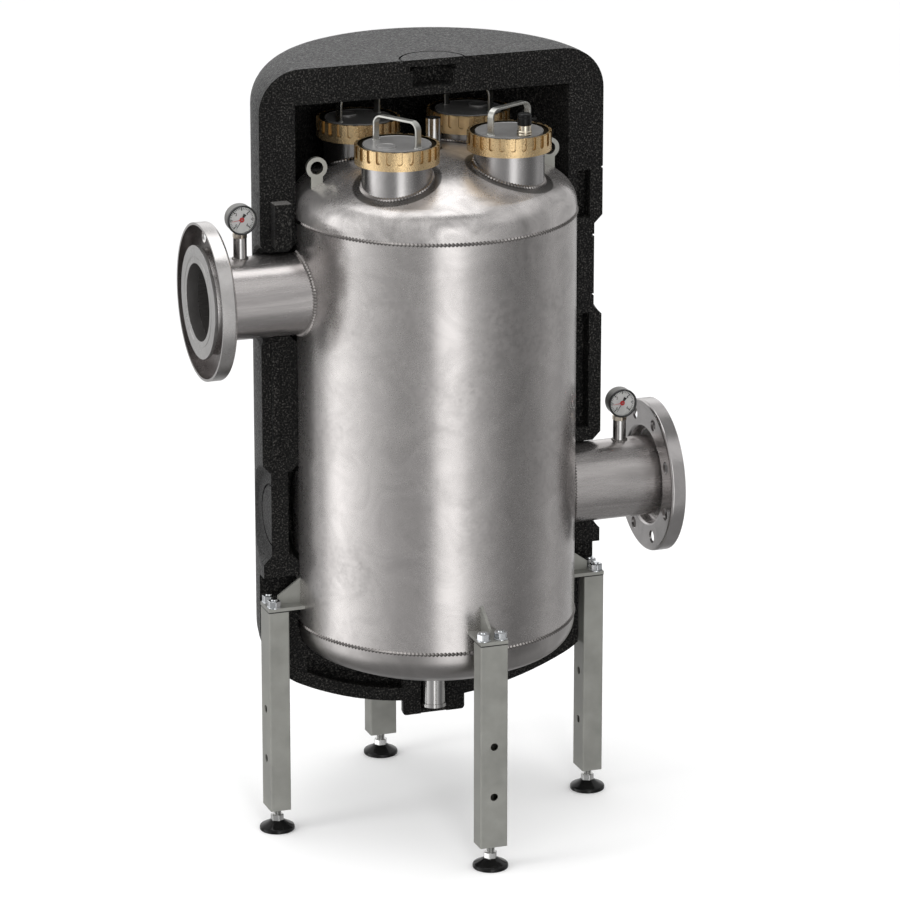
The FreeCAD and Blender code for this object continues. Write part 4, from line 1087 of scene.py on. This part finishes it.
pad = turned(
    "foot_pad",
    [
        (0.0, 0.0), (0.0242, 0.0), (0.0251, 0.0009), (0.0251, 0.0044), (0.0245, 0.0056),
        (0.0228, 0.0068), (0.0175, 0.0093), (0.0128, 0.0119), (0.0095, 0.0145), (0.006, 0.0145),
        (0.006, 0.0045), (0.0, 0.0045),
    ],
    64,
)
softened(pad, 0.0006, angle=18.0)
thread = ridged(0.006, 0.0225, 0.0565, 0.00175, 0.0007)
spindle = turned("spindle", [(0.0, 0.0045), (0.006, 0.0045), (0.006, 0.0225)] + thread + [(0.0, 0.058)], 32)
bpy.ops.object.shade_smooth_by_angle(angle=math.radians(40.0))
spindle_nut = hex_nut("spindle_nut", flats=0.017, height=0.008, place=(0.0, 0.0, 0.0145), soft=0.001)
spindle = joined("spindle", [spindle_nut, spindle])
for leg, angle in leg_angles.items():
    for model, name, material, slot, node in (
        (pad, "foot_pad_moulded_", foot_black, "foot_plastic", "foot_pad_"),
        (spindle, "foot_spindle_threaded_", spindle_metal, "spindle_zinc", "foot_spindle_"),
    ):
        piece = copied(model, name + leg)
        set_down(piece, (leg_circle, 0.0, 0.0))
        set_down(piece, turn=(0.0, 0.0, angle))
        carried(piece, "foot_" + leg, material, slot, node + leg)
for model in (pad, spindle):
    bpy.data.objects.remove(model)


# ---- Insulation: the rear half of a bead foam moulding. Its outer skin is charcoal with a fine pebble, and
# the parting face and the inside are nearly black, with pale specks. The top of the tongue that stands out
# of the parting face above the inlet is painted paler, as painted light.
def merged_copy(node, name):
    """A copy of a CAD node with its loose triangles merged and its flat faces made whole."""
    piece = copied(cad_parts[node], name)
    in_edit(piece)
    bpy.ops.mesh.select_all(action="SELECT")
    bpy.ops.mesh.remove_doubles(threshold=0.000005)
    bpy.ops.mesh.dissolve_limited(angle_limit=math.radians(0.5))
    bpy.ops.object.mode_set(mode="OBJECT")
    return piece


def foam_finish(name, dark, light, roughness, shine, pebble, depth, gap_depth, speck):
    """Bead foam: pebbles of one scale between two tones, with or without open gaps between the beads, which
    hold painted shade.
    """
    material, tree, shader = material_named(name, light, roughness)
    shader.inputs["Specular IOR Level"].default_value = shine
    place = tree.nodes.new("ShaderNodeTexCoord").outputs["Object"]
    speckle = ranged(tree, noise(tree, place, 430.0, 2.0, 0.6), speck, speck + 0.12)
    broad = ranged(tree, noise(tree, place, 14.0, 3.0), 0.35, 0.65, 0.0, 0.35)
    shade = blended(tree, speckle, dark, light)
    shade = blended(tree, broad, shade, dark)
    cells = tree.nodes.new("ShaderNodeTexVoronoi")
    cells.inputs["Scale"].default_value = pebble
    tree.links.new(place, cells.inputs["Vector"])
    gaps = ranged(tree, cells.outputs["Distance"], 0.45, 0.75)
    # Painted shade: the gaps between the beads are painted near-black, as deep as they are sunk.
    shade = blended(tree, maths(tree, "MULTIPLY", gaps, gap_depth), shade, (0.003, 0.003, 0.003))
    tree.links.new(shade, shader.inputs["Base Color"])
    pebbles = noise(tree, place, pebble, 3.0, 0.6)
    gloss = ranged(tree, pebbles, 0.35, 0.65, roughness - 0.2, roughness + 0.2)
    tree.links.new(gloss, shader.inputs["Roughness"])
    height = maths(tree, "SUBTRACT", pebbles, maths(tree, "MULTIPLY", gaps, gap_depth))
    bump = tree.nodes.new("ShaderNodeBump")
    bump.inputs["Distance"].default_value = depth
    tree.links.new(height, bump.inputs["Height"])
    tree.links.new(bump.outputs["Normal"], shader.inputs["Normal"])
    return material


foam_skin = foam_finish(
    "foam_skin", (0.004, 0.004, 0.004), (0.031, 0.03, 0.0292), 0.5, shine=0.95, pebble=300.0, depth=0.006,
    gap_depth=0.0, speck=0.48,
)
foam_cut = foam_finish(
    "foam_cut", (0.005, 0.005, 0.005), (0.068, 0.065, 0.06), 0.8, shine=0.2, pebble=340.0, depth=0.0015,
    gap_depth=0.7, speck=0.51,
)
foam_ledge = foam_finish(
    "foam_ledge", (0.13, 0.125, 0.12), (0.2, 0.195, 0.19), 0.7, shine=0.3, pebble=420.0, depth=0.002,
    gap_depth=0.0, speck=0.48,
)
shell_radius = 0.2525
shell_bend = 0.06
shell_top = 1.1055
bowl_middle = 0.6205
bowl_radius = 0.4525
port_reach = 0.085
tongue_floor = 0.3


def on_tongue(middle):
    """True on what stands out of the parting face towards the front half."""
    return middle.y < -0.0004 and middle.z > tongue_floor


def on_outer_skin(middle, normal):
    """True on the shell's outer wall, shoulder, roof and bowl, on its two closed ports, and on the left
    sides of what stands out of the parting face."""
    for side, height in pipe_heights.items():
        near_port = math.hypot(middle.y, middle.z - height) < port_reach
        if near_port and middle.x * side < -0.215 and normal.x * side < -0.5:
            return True
    if on_tongue(middle):
        return normal.x < -0.6
    reach = math.hypot(middle.x, middle.y)
    outward = (normal.x * middle.x + normal.y * middle.y) / max(reach, 0.001)
    if middle.z > shell_top - shell_bend:
        past = math.hypot(max(reach - shell_radius + shell_bend, 0.0), middle.z - shell_top + shell_bend)
        return past > shell_bend - 0.013 and normal.z + outward > 0.6
    if middle.z > tongue_floor:
        return reach > shell_radius - 0.005 and outward > 0.6
    past = math.hypot(reach, middle.z - bowl_middle)
    return (past > bowl_radius - 0.008 or reach > 0.2) and outward - normal.z > 0.6


shell = merged_copy("insulation_shell", "insulation_half")
softened(shell, 0.0018, angle=32.0, segments=3)
carried(shell, "insulation", foam_cut, "foam", "insulation_shell")
refinished(shell, foam_skin, on_outer_skin)
# Painted light: the tongue's upward faces get a paler foam.
refinished(shell, foam_ledge, lambda middle, normal: on_tongue(middle) and normal.z > 0.6)


# ---- Drain hole plug: a half disc of the same foam, with a chamfered upper edge. It closes the hole in the
# shell's floor behind the drain, and its flat side is just behind the parting face.
plug_foot = 0.1478
plug = turned(
    "drain_hole_plug", [(0.0, 0.0), (0.0192, 0.0), (0.0192, 0.006), (0.017, 0.0074), (0.0, 0.0074)], 64
)
in_edit(plug)
bpy.ops.mesh.select_all(action="SELECT")
bpy.ops.mesh.bisect(plane_co=(0.0, 0.0008, 0.0), plane_no=(0.0, 1.0, 0.0), use_fill=True, clear_inner=True)
bpy.ops.object.mode_set(mode="OBJECT")
softened(plug, 0.0005, angle=30.0)
set_down(plug, (0.0, 0.0, plug_foot))
carried(plug, "insulation", foam_cut, "foam")
